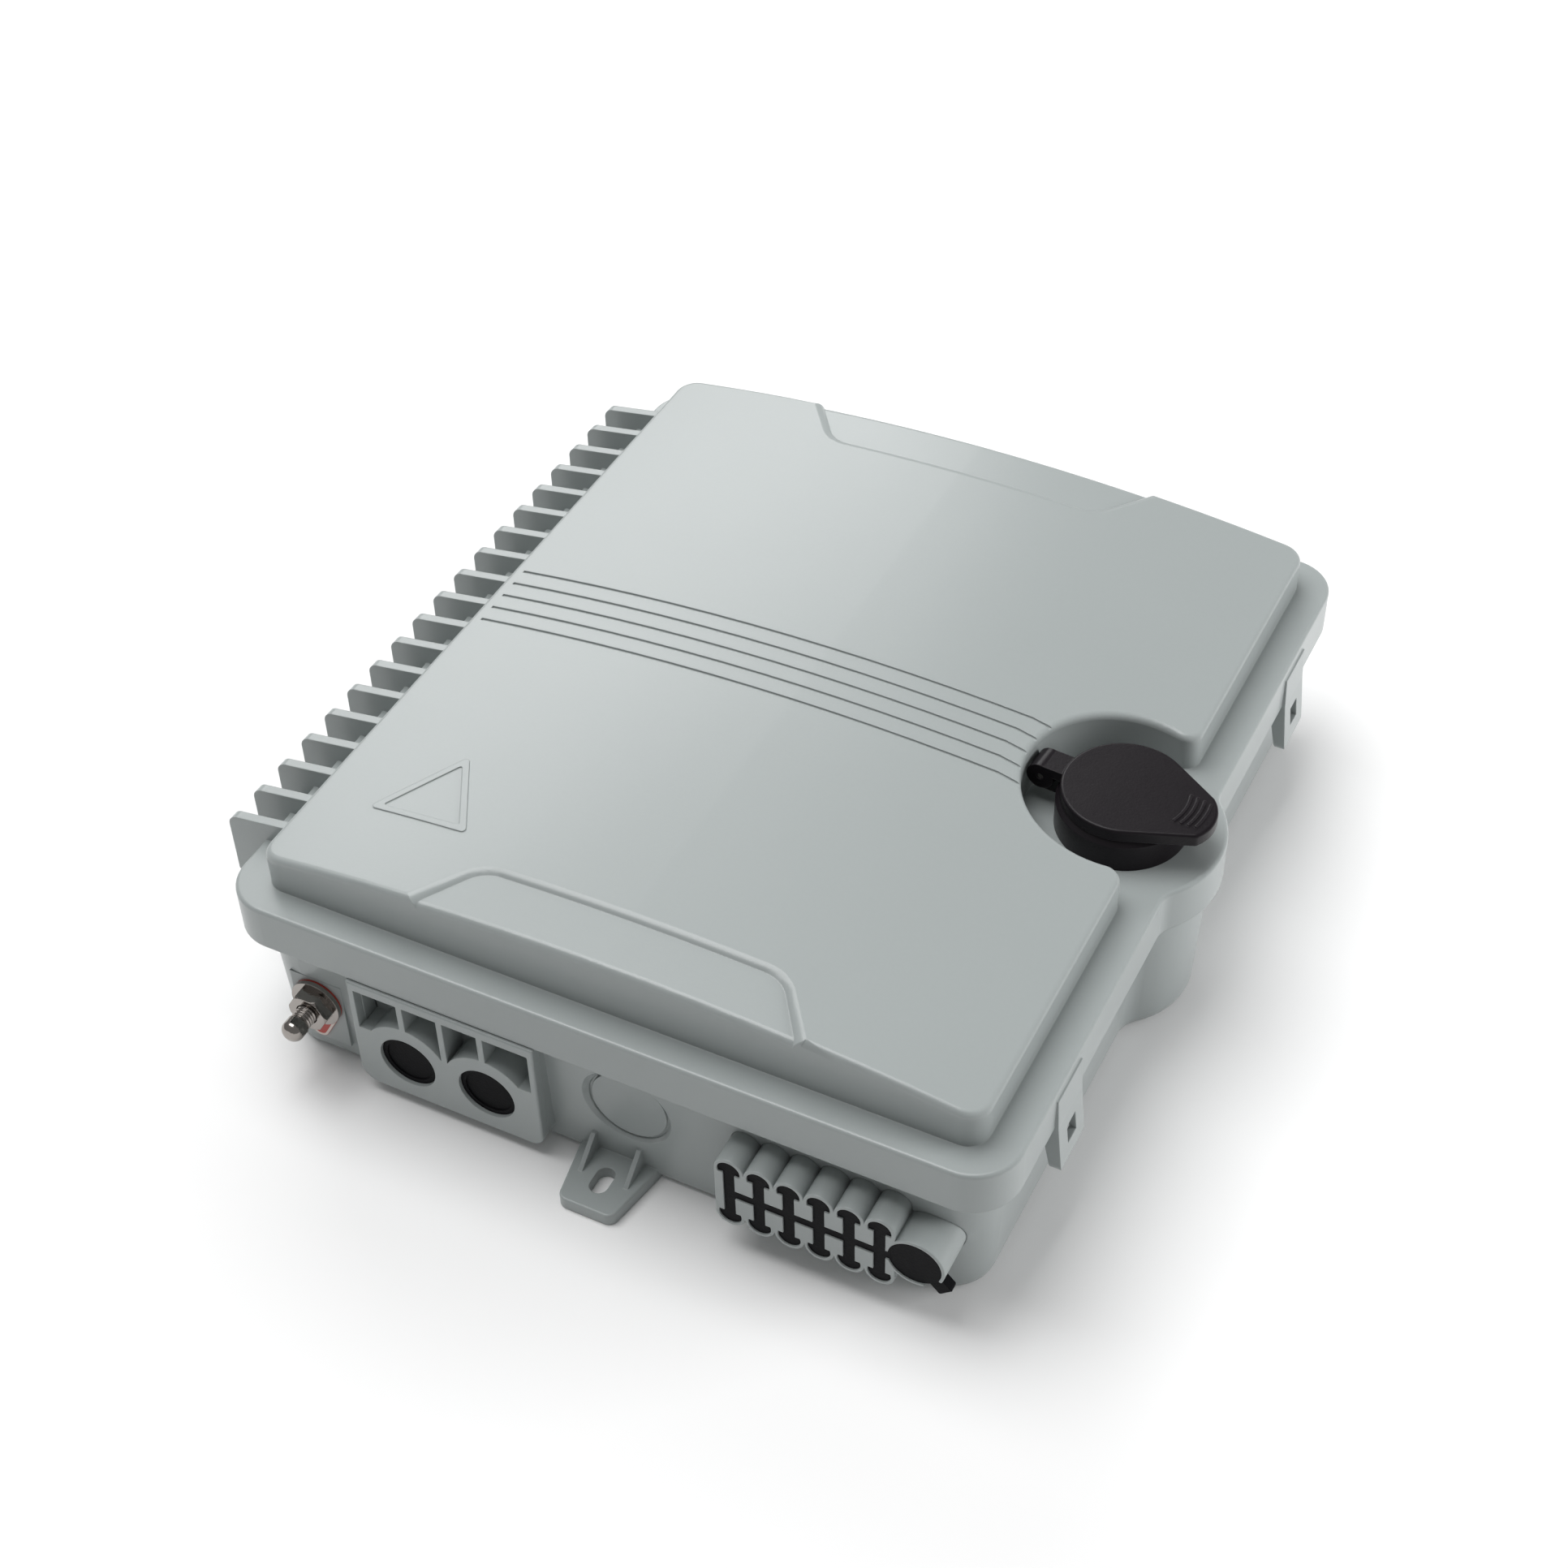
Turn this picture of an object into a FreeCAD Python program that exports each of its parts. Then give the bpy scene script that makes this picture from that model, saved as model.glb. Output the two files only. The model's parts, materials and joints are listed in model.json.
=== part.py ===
import FreeCAD, Part
import math
import os
import re
import types

import Sketcher
from FreeCAD import Vector

# Wall-mounted fiber termination box lying on its back.
# +X runs along the port side towards the lock, +Y away from the ports, +Z out of the wall.
# The origin is the middle of the footprint, on the back face.

SIZES = {
    # base tub
    "base_half_x": 119.0,
    "base_half_y": 137.5,
    "base_corner": 15.5,
    "case_wall": 2.5,
    "floor_wall": 3.0,
    "draft_inset": 2.2,
    "foot_round": 3.2,
    "base_top": 58.1,
    "seat_width": 5.5,
    "seat_depth": 4.5,
    "seat_groove_out": 1.5,
    "seat_groove_in": 4.2,
    "seat_groove_depth": 2.2,
    "gasket_gap": 0.15,
    "gasket_top": 60.0,
    # lid
    "rim_half_x": 125.3,
    "rim_half_y": 142.0,
    "rim_corner": 15.0,
    "rim_bulge": 31.8,
    "rim_blend": 8.0,
    "skirt_low": 47.5,
    "ledge_top": 62.8,
    "ledge_round": 1.2,
    "panel_half_x": 115.0,
    "panel_half_y": 132.5,
    "panel_corner": 7.0,
    "panel_edge": 75.0,
    "panel_round": 2.0,
    "crown_rise": 8.5,
    "recess_front_half": 60.5,
    "recess_back_half": 47.8,
    "recess_back_y": 114.5,
    "recess_round": 11.0,
    "recess_edge_round": 4.0,
    "recess_edge_shift": 0.8,
    "recess_lap": 1.2,
    "recess_drop": 1.3,
    "recess_tilt": 2.0,
    "groove_count": 5,
    "groove_pitch": 6.6,
    "groove_wide": 1.0,
    "groove_deep": 0.6,
    "groove_start": -111.0,
    "groove_hook": 9.5,
    "groove_turn": -9.0,
    "emblem_x": -77.4,
    "emblem_y": -93.6,
    "emblem_radius": 19.6,
    "emblem_width": 2.1,
    "emblem_corner": 1.2,
    "emblem_rise": 0.35,
    # lock bulge and well
    "lock_x": 103.0,
    "bulge_radius": 28.2,
    "bulge_blend": 8.0,
    "well_radius": 30.6,
    "well_lip": 5.0,
    # rib row and lid hinge
    "rib_count": 19,
    "rib_pitch": 12.75,
    "rib_thick": 3.0,
    "rib_tip_x": -138.0,
    "rib_root_x": -114.0,
    "rib_top": 71.0,
    "rib_tip_top": 67.8,
    "rib_round": 3.8,
    "rib_foot_radius": 8.5,
    "rib_inner_x": -124.5,
    "hinge_x": -131.0,
    "hinge_z": 50.0,
    "hinge_inner_y": 31.875,
    "hinge_outer_y": 95.625,
    "hinge_pin_radius": 2.0,
    "hinge_pin_length": 15.2,
    "hinge_running_gap": 0.06,
    "knuckle_radius": 4.2,
    "knuckle_width": 8.3,
    # snap tongues
    "tongue_y": 95.5,
    "tongue_width": 17.5,
    "tongue_top_x": 125.8,
    "tongue_foot_x": 128.1,
    "tongue_foot_z": 28.0,
    "tongue_thick": 2.2,
    "tongue_corner": 3.5,
    "window_width": 6.0,
    "window_low": 35.5,
    "window_high": 42.5,
    "catch_width": 5.0,
    "catch_tip_x": 124.6,
    # mounting ears
    "ear_x": 3.0,
    "ear_reach": 156.8,
    "ear_root_half": 13.3,
    "ear_tip_half": 9.0,
    "ear_thick": 4.2,
    "ear_corner": 3.2,
    "ear_edge_round": 0.6,
    "slot_y": 146.0,
    "slot_radius": 2.9,
    "slot_length": 9.8,
    "gusset_x": 7.6,
    "gusset_thick": 1.5,
    "gusset_rise": 7.5,
    # trunk cable ports
    "trunk_x": -50.1,
    "trunk_pitch": 27.3,
    "trunk_z": 19.3,
    "trunk_half": 31.7,
    "trunk_low": 4.0,
    "trunk_high": 47.0,
    "trunk_front": -143.0,
    "trunk_pad_front": -139.8,
    "trunk_hole_radius": 9.5,
    "trunk_ring_radius": 14.6,
    "trunk_bar": 3.2,
    "trunk_pocket_depth": 9.0,
    "trunk_pocket_floor": 28.1,
    "trunk_rib": 2.0,
    "trunk_neck_half": 29.0,
    "trunk_neck_low": 6.5,
    "trunk_neck_high": 44.4,
    "trunk_neck_back": -131.0,
    "trunk_plug_front": -141.8,
    "trunk_plug_back": -132.0,
    # knock-out
    "knockout_x": 7.5,
    "knockout_z": 28.5,
    "knockout_radius": 15.1,
    "knockout_disc_radius": 13.2,
    "knockout_depth": 1.5,
    "knockout_groove": 0.9,
    # drop cable ports
    "drop_first_x": 46.5,
    "drop_pitch": 9.25,
    "drop_columns": 6,
    "drop_high_z": 34.7,
    "drop_low_z": 15.5,
    "drop_tube_radius": 4.65,
    "drop_bulb_radius": 3.6,
    "drop_stem": 3.7,
    "drop_slot": 3.6,
    "drop_front": -148.0,
    "drop_back": -130.5,
    "drop_fit": 0.1,
    "drop_recess": 0.5,
    "round_port_x": 103.3,
    "round_port_z": 25.8,
    "round_port_outer": 9.0,
    "round_port_inner": 8.1,
    # ground terminal
    "ground_x": -98.5,
    "ground_z": 24.7,
    "ground_pad_half": 9.0,
    "ground_pad_low": 17.0,
    "ground_pad_front": -137.0,
    "ground_pad_back": -131.5,
    "ground_tag_thick": 0.7,
    "tag_head_radius": 8.2,
    "tag_tip_radius": 3.2,
    "tag_tip_shift": -1.2,
    "tag_tip_drop": 12.6,
    "stud_radius": 3.6,
    "stud_thread_crest": 3.3,
    "stud_thread_root": 2.85,
    "stud_front": -153.4,
    "stud_back": -118.0,
    "washer_radius": 8.3,
    "washer_thick": 1.4,
    "ground_nut_flats": 12.0,
    "ground_nut_thick": 4.5,
    "ground_bar_thick": 1.5,
    # lock
    "barrel_radius": 10.9,
    "core_radius": 7.0,
    "core_gap": 0.06,
    "housing_radius": 20.2,
    "housing_top": 73.6,
    "barrel_foot": 45.0,
    "lock_nut_flats": 27.0,
    "lock_nut_thick": 5.0,
    "lock_nut_top": 57.0,
    "core_top": 70.0,
    "core_square": 7.0,
    "cam_thick": 3.0,
    "cam_top": 41.5,
    "cam_length": 18.0,
    "cam_half": 6.0,
    "cap_x": 103.3,
    "cap_radius": 19.3,
    "cap_under": 74.0,
    "cap_top": 78.0,
    "cap_tip_radius": 29.0,
    "cap_tip_angle": -5.0,
    "grip_count": 4,
    "grip_pitch": 2.1,
    "cap_pin_reach": 26.1,
    "cap_pin_z": 73.0,
    "cap_pin_radius": 1.0,
    "cap_pin_gap": 0.06,
    "cap_knuckle": 4.4,
    "cap_arm_half": 4.2,
    "cap_arm_top": 77.3,
    "cap_lug_half": 2.2,
    "cap_lug_radius": 2.6,
    "cap_lug_gap": 0.35,
    # strike
    "strike_low": 42.0,
    "strike_thick": 2.0,
    "strike_in_x": 113.8,
    "strike_out_x": 126.8,
    "strike_half": 8.0,
    "strike_boss_x": 122.0,
    "strike_screw_x": 124.4,
    "strike_screw_y": 4.8,
    # adapter row
    "adapter_count": 12,
    "adapter_pitch": 13.0,
    "adapter_first_x": -53.0,
    "adapter_y": -66.0,
    "adapter_z": 20.0,
    "adapter_wide": 9.0,
    "adapter_tall": 12.8,
    "adapter_long": 26.0,
    "adapter_flange_tall": 21.0,
    "adapter_flange_thick": 1.6,
    "adapter_bore_wide": 6.6,
    "adapter_bore_tall": 9.6,
    "adapter_bore_deep": 9.0,
    "adapter_gap": 0.1,
    "bracket_thick": 1.6,
    "bracket_high": 34.0,
    "bracket_foot": 14.0,
    "bracket_side": 8.0,
    "bracket_seat": 5.0,
    # splice tray
    "tray_left": -97.0,
    "tray_right": 68.0,
    "tray_front": -44.0,
    "tray_back": 118.0,
    "tray_corner": 18.0,
    "tray_low": 31.0,
    "tray_high": 42.0,
    "tray_wall": 2.0,
    "tray_cover_thick": 1.4,
    "tray_axis_x": -104.0,
    "tray_axis_z": 35.0,
    "tray_pin_radius": 1.5,
    "tray_pin_length": 12.0,
    "tray_lug_radius": 3.6,
    "tray_lug_front_y": -30.0,
    "tray_lug_back_y": 104.0,
    "tray_lug_half": 3.0,
    "tray_ear_gap": 0.4,
    "tray_ear_thick": 3.0,
    "sleeve_count": 12,
    "sleeve_pitch": 4.6,
    "sleeve_radius": 1.5,
    "sleeve_length": 60.0,
    "sleeve_x": 2.0,
    "sleeve_y": 37.0,
    "holder_rise": 6.0,
    "splitter_long": 60.0,
    "splitter_wide": 12.0,
    "splitter_tall": 4.0,
    "spool_radius": 16.0,
    "spool_x": 52.0,
    # fiber guides on the floor
    "guide_x": 97.0,
    "guide_front_y": 92.0,
    "guide_back_y": 122.0,
    # trunk cable clamp and drop cable comb inside the front wall
    "clamp_y": -113.0,
    "clamp_long": 12.0,
    "clamp_half": 33.0,
    "clamp_foot_x": 38.0,
    "clamp_bore": 8.0,
    "clamp_bar_half": 13.2,
    "clamp_screw_x": 10.2,
    "clamp_split": 0.5,
    "clamp_bar_high": 10.5,
    "clamp_foot_thick": 3.0,
    "comb_y": -118.0,
    "comb_long": 8.0,
    "comb_tooth_high": 15.0,
    "comb_screw_x": 33.0,
    # fasteners
    "screw_radius": 1.5,
    "screw_head_radius": 2.9,
    "screw_head_high": 1.8,
    "screw_gap": 0.05,
    "screw_long": 8.0,
    "boss_radius": 4.0,
    "boss_bore_floor": 1.2,
    "short_screw_long": 5.0,
}

doc = FreeCAD.newDocument("fiber_termination_box")
sheet = doc.addObject("Spreadsheet::Sheet", "Sizes")
for row, (alias, value) in enumerate(SIZES.items(), start=1):
    sheet.set(f"A{row}", alias)
    sheet.set(f"B{row}", str(value))
    sheet.setAlias(f"B{row}", alias)
doc.recompute()
s = types.SimpleNamespace(**{alias: float(sheet.get(alias)) for alias in SIZES})


# ---------------------------------------------------------------- parametric helpers

WORD = re.compile(r"\b[a-z]\w*\b")


def bound(text):
    """A size formula with each sheet alias written out as a reference to its cell."""
    return WORD.sub(lambda word: f"Sizes.{word[0]}" if word[0] in SIZES else word[0], str(text))


def bind(thing, **formulas):
    """Bind properties of an object to size formulas; a double underscore stands for a dot."""
    for name, formula in formulas.items():
        thing.setExpression(name.replace("__", "."), bound(formula))
    return thing


def amount(text):
    """The present value of a size formula."""
    return float(sheet.evalExpression(bound(text)))


def block(x, y, z):
    """A box from three (low, high) pairs of formulas."""
    box = doc.addObject("Part::Box", "block")
    return bind(
        box,
        Length=f"({x[1]}) - ({x[0]})",
        Width=f"({y[1]}) - ({y[0]})",
        Height=f"({z[1]}) - ({z[0]})",
        Placement__Base__x=x[0],
        Placement__Base__y=y[0],
        Placement__Base__z=z[0],
    )


TURN_TO = {
    "+Z": FreeCAD.Rotation(),
    "+Y": FreeCAD.Rotation(Vector(1, 0, 0), -90),
    "+X": FreeCAD.Rotation(Vector(0, 1, 0), 90),
}


def rod(axis, x, y, z, radius, length):
    """A cylinder that starts at x, y, z and runs along +X, +Y or +Z."""
    cylinder = doc.addObject("Part::Cylinder", "rod")
    cylinder.Placement.Rotation = TURN_TO[axis]
    return bind(
        cylinder,
        Radius=radius,
        Height=length,
        Placement__Base__x=x,
        Placement__Base__y=y,
        Placement__Base__z=z,
    )


def join(*pieces):
    fused = doc.addObject("Part::MultiFuse", "join")
    fused.Shapes = list(pieces)
    return fused


def cut(piece, *tools):
    result = doc.addObject("Part::Cut", "cut")
    result.Base = piece
    result.Tool = tools[0] if len(tools) == 1 else join(*tools)
    return result


def overlap(first, second):
    common = doc.addObject("Part::MultiCommon", "overlap")
    common.Shapes = [first, second]
    return common


class Solid:
    """A PartDesign body built feature by feature from sketches bound to the sheet."""

    def __init__(self, label):
        self.body = doc.addObject("PartDesign::Body", label)
        self.body.Label = label

    def sketch(self, role, height="0"):
        origin_plane = next(item for item in self.body.Origin.OriginFeatures if item.Role == role)
        sketch = self.body.newObject("Sketcher::SketchObject", "profile")
        sketch.AttachmentSupport = (origin_plane, [""])
        sketch.MapMode = "FlatFace"
        sketch.setExpression("AttachmentOffset.Base.z", bound(height))
        return sketch

    def finish(self, kind, name, sketch, **formulas):
        feature = self.body.newObject(kind, name)
        feature.Profile = sketch
        bind(feature, **formulas)
        return feature

    def pad(self, sketch, length, down=False):
        feature = self.finish("PartDesign::Pad", "pad", sketch, Length=length)
        feature.Reversed = down
        doc.recompute()
        return self

    def pocket(self, sketch, depth, up=False):
        """Cut below the sketch plane, or above it with up."""
        before = self.body.Shape.Volume
        feature = self.finish("PartDesign::Pocket", "pocket", sketch, Length=depth)
        feature.Reversed = up
        doc.recompute()
        if self.body.Shape.Volume >= before:
            raise RuntimeError(f"{self.body.Label}: a pocket removed nothing")
        return self

    def turn(self, sketch):
        """Revolve a profile drawn right of the sketch's vertical axis about that axis."""
        feature = self.body.newObject("PartDesign::Revolution", "revolution")
        feature.Profile = sketch
        feature.ReferenceAxis = (sketch, ["V_Axis"])
        feature.Angle = 360
        doc.recompute()
        return self

    def round_edges(self, keep, radius):
        """Fillet the edges that keep(edge) accepts."""
        tip = self.body.Tip
        names = [f"Edge{i}" for i, edge in enumerate(tip.Shape.Edges, start=1) if keep(edge)]
        feature = self.body.newObject("PartDesign::Fillet", "fillet")
        feature.Base = (tip, names)
        bind(feature, Radius=radius)
        doc.recompute()
        return self


def pin_point(sketch, geometry, point, x, y):
    """Tie a sketch point to the origin by two distances bound to formulas."""
    for kind, formula in (("DistanceX", x), ("DistanceY", y)):
        index = sketch.addConstraint(Sketcher.Constraint(kind, -1, 1, geometry, point, amount(formula)))
        sketch.renameConstraint(index, f"place{index}")
        sketch.setExpression(f"Constraints.place{index}", bound(formula))


def add_circle(sketch, x, y, radius):
    centre = Vector(amount(x), amount(y), 0)
    geometry = sketch.addGeometry(Part.Circle(centre, Vector(0, 0, 1), amount(radius)), False)
    index = sketch.addConstraint(Sketcher.Constraint("Radius", geometry, amount(radius)))
    sketch.renameConstraint(index, f"radius{index}")
    sketch.setExpression(f"Constraints.radius{index}", bound(radius))
    pin_point(sketch, geometry, 3, x, y)


def add_polygon(sketch, corners):
    """A closed polygon through corners given as pairs of formulas."""
    places = [Vector(amount(x), amount(y), 0) for x, y in corners]
    lines = []
    for start, end in zip(places, places[1:] + places[:1]):
        lines.append(sketch.addGeometry(Part.LineSegment(start, end), False))
    for this, following in zip(lines, lines[1:] + lines[:1]):
        sketch.addConstraint(Sketcher.Constraint("Coincident", this, 2, following, 1))
    for line, (x, y) in zip(lines, corners):
        pin_point(sketch, line, 1, x, y)


def add_rectangle(sketch, x, y):
    add_polygon(sketch, [(x[0], y[0]), (x[1], y[0]), (x[1], y[1]), (x[0], y[1])])


def is_upright(edge):
    """True for an edge parallel to Z."""
    ends = [vertex.Point for vertex in edge.Vertexes]
    return len(ends) == 2 and (ends[1] - ends[0]).cross(Vector(0, 0, 1)).Length < 1e-6


nodes = {}


def node(label, piece):
    """Register a finished sub-part under its name."""
    piece.Label = label
    nodes[label] = piece
    return piece


def shaped(label, shape):
    """Register a sub-part whose shape is worked out in code from the sheet."""
    feature = doc.addObject("Part::Feature", label)
    placement = shape.Placement
    feature.Shape = shape
    feature.Placement = placement
    return node(label, feature)


def copies(shape, places):
    """A compound of copies of one shape, moved to each place."""
    return Part.makeCompound([shape.translated(Vector(*place)) for place in places])


# ---------------------------------------------------------------- outlines shared by case and lid


def line(start, end, height):
    return Part.makeLine(Vector(*start, height), Vector(*end, height))


def arc(centre, radius, first, last, height):
    """Counter-clockwise arc between two angles in degrees."""
    return Part.makeCircle(radius, Vector(*centre, height), Vector(0, 0, 1), first, last)


def corner_arcs(half_x, half_y, radius, height, quadrants):
    """The rounded corners of a rectangle, quadrant 0 at +X +Y and counting counter-clockwise."""
    signs = ((1, 1), (-1, 1), (-1, -1), (1, -1))
    arcs = []
    for q in quadrants:
        centre = (signs[q][0] * (half_x - radius), signs[q][1] * (half_y - radius))
        arcs.append(arc(centre, radius, 90 * q, 90 * q + 90, height))
    return arcs


def closed(edges):
    return Part.Wire(Part.__sortEdges__(edges))


def bulged_outline(half_x, half_y, corner, bulge, blend, height):
    """A rounded rectangle whose right side swells round the lock, joined on by two hollow arcs."""
    blend_x = half_x + blend
    blend_y = math.sqrt((bulge + blend) ** 2 - (blend_x - s.lock_x) ** 2)
    meet = math.degrees(math.atan2(blend_y, blend_x - s.lock_x))
    side = half_y - corner
    front = half_x - corner
    edges = corner_arcs(half_x, half_y, corner, height, range(4))
    edges += [
        line((-front, -half_y), (front, -half_y), height),
        line((front, half_y), (-front, half_y), height),
        line((-half_x, side), (-half_x, -side), height),
        line((half_x, -side), (half_x, -blend_y), height),
        line((half_x, blend_y), (half_x, side), height),
        arc((blend_x, -blend_y), blend, 180 - meet, 180, height),
        arc((s.lock_x, 0), bulge, -meet, meet, height),
        arc((blend_x, blend_y), blend, 180, 180 + meet, height),
    ]
    return closed(edges)


def case_outline(inset, height):
    """The tub's outline pulled in by inset."""
    return bulged_outline(
        s.base_half_x - inset,
        s.base_half_y - inset,
        s.base_corner - inset,
        s.bulge_radius - inset,
        s.bulge_blend + inset,
        height,
    )


def rim_outline(inset, height):
    """The lid rim's outline pulled in by inset."""
    return bulged_outline(
        s.rim_half_x - inset,
        s.rim_half_y - inset,
        s.rim_corner - inset,
        s.rim_bulge - inset,
        s.rim_blend + inset,
        height,
    )


def panel_outline(inset, height):
    """The raised panel's outline pulled in by inset, open at its right around the lock well."""
    half_x = s.panel_half_x - inset
    half_y = s.panel_half_y - inset
    corner = s.panel_corner - inset
    well = s.well_radius + inset
    lip = s.well_lip - inset
    lip_x = s.panel_half_x - s.well_lip
    lip_y = math.sqrt((s.well_radius + s.well_lip) ** 2 - (lip_x - s.lock_x) ** 2)
    turn = math.degrees(math.atan2(lip_y, lip_x - s.lock_x))
    side = half_y - corner
    front = half_x - corner
    edges = corner_arcs(half_x, half_y, corner, height, range(4))
    edges += [
        line((-front, -half_y), (front, -half_y), height),
        line((front, half_y), (-front, half_y), height),
        line((-half_x, side), (-half_x, -side), height),
        line((half_x, -side), (half_x, -lip_y), height),
        line((half_x, lip_y), (half_x, side), height),
        arc((lip_x, -lip_y), lip, 0, 180 - turn, height),
        arc((s.lock_x, 0), well, turn, 360 - turn, height),
        arc((lip_x, lip_y), lip, 180 + turn, 360, height),
    ]
    return closed(edges)


def slab(wire, low, high):
    """Extrude a closed wire that lies at height low up to height high."""
    return Part.Face(wire).extrude(Vector(0, 0, high - low))


def case_slab(inset, low, high):
    return slab(case_outline(inset, low), low, high)


def box_between(x, y, z):
    return Part.makeBox(x[1] - x[0], y[1] - y[0], z[1] - z[0], Vector(x[0], y[0], z[0]))


def prism(points, direction, thickness):
    """Extrude a polygon of 3-D points along a direction."""
    loop = [Vector(*point) for point in points]
    return Part.Face(Part.makePolygon(loop + loop[:1])).extrude(Vector(*direction) * thickness)


# ---------------------------------------------------------------- base tub


def wall_inset(height):
    """How far the drafted wall leans in below the skirt."""
    return s.draft_inset * (s.skirt_low - height) / s.skirt_low


def tub():
    """The drafted outer body with its rounded foot, and the straight band that the lid covers."""
    sections = []
    for angle in range(0, 91, 30):
        height = s.foot_round * (1 - math.cos(math.radians(angle)))
        pull = s.foot_round * (1 - math.sin(math.radians(angle)))
        sections.append(case_outline(wall_inset(height) + pull, height))
    sections.append(case_outline(0, s.skirt_low))
    return Part.makeLoft(sections, True, True).fuse(case_slab(0, s.skirt_low, s.base_top))


def tub_hollow():
    low_outline = case_outline(s.case_wall + wall_inset(s.floor_wall), s.floor_wall)
    low = Part.makeLoft([low_outline, case_outline(s.case_wall, s.skirt_low)], True, True)
    seat_low = s.base_top - s.seat_depth
    middle = case_slab(s.case_wall, s.skirt_low, seat_low)
    mouth = case_slab(s.seat_width, seat_low, s.base_top + 1)
    groove_floor = s.base_top - s.seat_groove_depth
    outer = case_slab(s.seat_groove_out, groove_floor, s.base_top + 1)
    groove = outer.cut(case_slab(s.seat_groove_in, groove_floor, s.base_top + 1))
    return [low, middle, mouth, groove]


def mounting_ear(side):
    """A tapered foot with two gussets and a slot, at the front for side -1 and the rear for side 1."""
    root_y = s.base_half_y - 4
    tip = side * s.ear_reach
    outline = [
        (-s.ear_root_half, side * root_y, 0),
        (s.ear_root_half, side * root_y, 0),
        (s.ear_tip_half, tip, 0),
        (-s.ear_tip_half, tip, 0),
    ]
    plate = prism(outline, (0, 0, 1), s.ear_thick)
    outer_corners = [
        edge for edge in plate.Edges if is_upright(edge) and abs(edge.Vertexes[0].Y) > root_y + 5
    ]
    plate = plate.makeFillet(s.ear_corner, outer_corners)
    top = [
        edge
        for edge in plate.Edges
        if edge.BoundBox.ZMin > s.ear_thick - 0.01 and abs(edge.BoundBox.Center.y) > root_y + 5
    ]
    plate = plate.makeFillet(s.ear_edge_round, top)
    straight = s.slot_length / 2 - s.slot_radius
    hole = box_between(
        (-s.slot_radius, s.slot_radius),
        (side * s.slot_y - straight, side * s.slot_y + straight),
        (-1, s.ear_thick + 1),
    )
    for end in (-straight, straight):
        centre = Vector(0, side * s.slot_y + end, -1)
        hole = hole.fuse(Part.makeCylinder(s.slot_radius, s.ear_thick + 2, centre))
    plate = plate.cut(hole)
    for edge_x in (-s.gusset_x, s.gusset_x):
        start = edge_x - s.gusset_thick / 2
        triangle = [
            (start, side * root_y, s.ear_thick - 0.5),
            (start, side * (s.slot_y + 0.5), s.ear_thick - 0.5),
            (start, side * (s.base_half_y - 0.5), s.ear_thick + s.gusset_rise),
            (start, side * root_y, s.ear_thick + s.gusset_rise),
        ]
        plate = plate.fuse(prism(triangle, (1, 0, 0), s.gusset_thick))
    return plate.translated(Vector(s.ear_x, 0, 0))


def hinge_places():
    return [-s.hinge_outer_y, -s.hinge_inner_y, s.hinge_inner_y, s.hinge_outer_y]


def hinge_arm(y):
    """An arm that carries a hinge pin, standing out of the left wall between two lid ribs."""
    start = y - s.knuckle_width / 2
    root_x = -s.base_half_x + 1
    outline = [
        (s.hinge_x - s.knuckle_radius, start, s.hinge_z),
        (s.hinge_x - s.knuckle_radius, start, s.hinge_z - 6),
        (root_x, start, s.hinge_z - 28),
        (root_x, start, s.hinge_z - 4),
        (s.hinge_x + s.knuckle_radius, start, s.hinge_z - 3.5),
        (s.hinge_x + s.knuckle_radius, start, s.hinge_z),
    ]
    arm = prism(outline, (0, 1, 0), s.knuckle_width)
    centre = Vector(s.hinge_x, start, s.hinge_z)
    arm = arm.fuse(Part.makeCylinder(s.knuckle_radius, s.knuckle_width, centre, Vector(0, 1, 0)))
    bore = Part.makeCylinder(
        s.hinge_pin_radius + s.screw_gap, s.knuckle_width + 2, centre - Vector(0, 1, 0), Vector(0, 1, 0)
    )
    return arm.cut(bore)


def snap_catch(y):
    """The wedge under a snap tongue, sloped on top so that the tongue rides over it."""
    start = y - s.catch_width / 2
    root_x = s.base_half_x - 2
    outline = [
        (root_x, start, s.window_low + 0.5),
        (s.catch_tip_x - 0.4, start, s.window_low + 1.5),
        (s.catch_tip_x, start, s.window_low + 2.5),
        (root_x, start, s.window_high + 5),
    ]
    return prism(outline, (0, 1, 0), s.catch_width)


def trunk_profile(front, back):
    """The trunk port block's rounded outline as a solid between two y values."""
    low_left = s.trunk_x - s.trunk_half
    high_right = s.trunk_x + s.trunk_half
    body = box_between((low_left, high_right), (front, back), (s.trunk_low, s.trunk_high))
    for corner_x, radius in ((low_left, 6.0), (high_right, 4.5)):
        edges = [
            edge
            for edge in body.Edges
            if all(abs(v.X - corner_x) < 0.01 and abs(v.Z - s.trunk_low) < 0.01 for v in edge.Vertexes)
        ]
        body = body.makeFillet(radius, edges)
    return body


def trunk_hole_x():
    return [s.trunk_x - s.trunk_pitch / 2, s.trunk_x + s.trunk_pitch / 2]


def trunk_opening(grow):
    """The opening through the front wall that the port block's neck fills, grown by a fit gap."""
    half = s.trunk_neck_half + grow
    return box_between(
        (s.trunk_x - half, s.trunk_x + half),
        (s.trunk_front, s.trunk_neck_back),
        (s.trunk_neck_low - grow, s.trunk_neck_high + grow),
    )


def drop_columns():
    return [s.drop_first_x + index * s.drop_pitch for index in range(int(s.drop_columns))]


def along_y(x, z, radius, start, end):
    return Part.makeCylinder(radius, end - start, Vector(x, start, z), Vector(0, 1, 0))


def fuse_all(shapes):
    return shapes[0].multiFuse(shapes[1:]) if len(shapes) > 1 else shapes[0]


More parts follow.
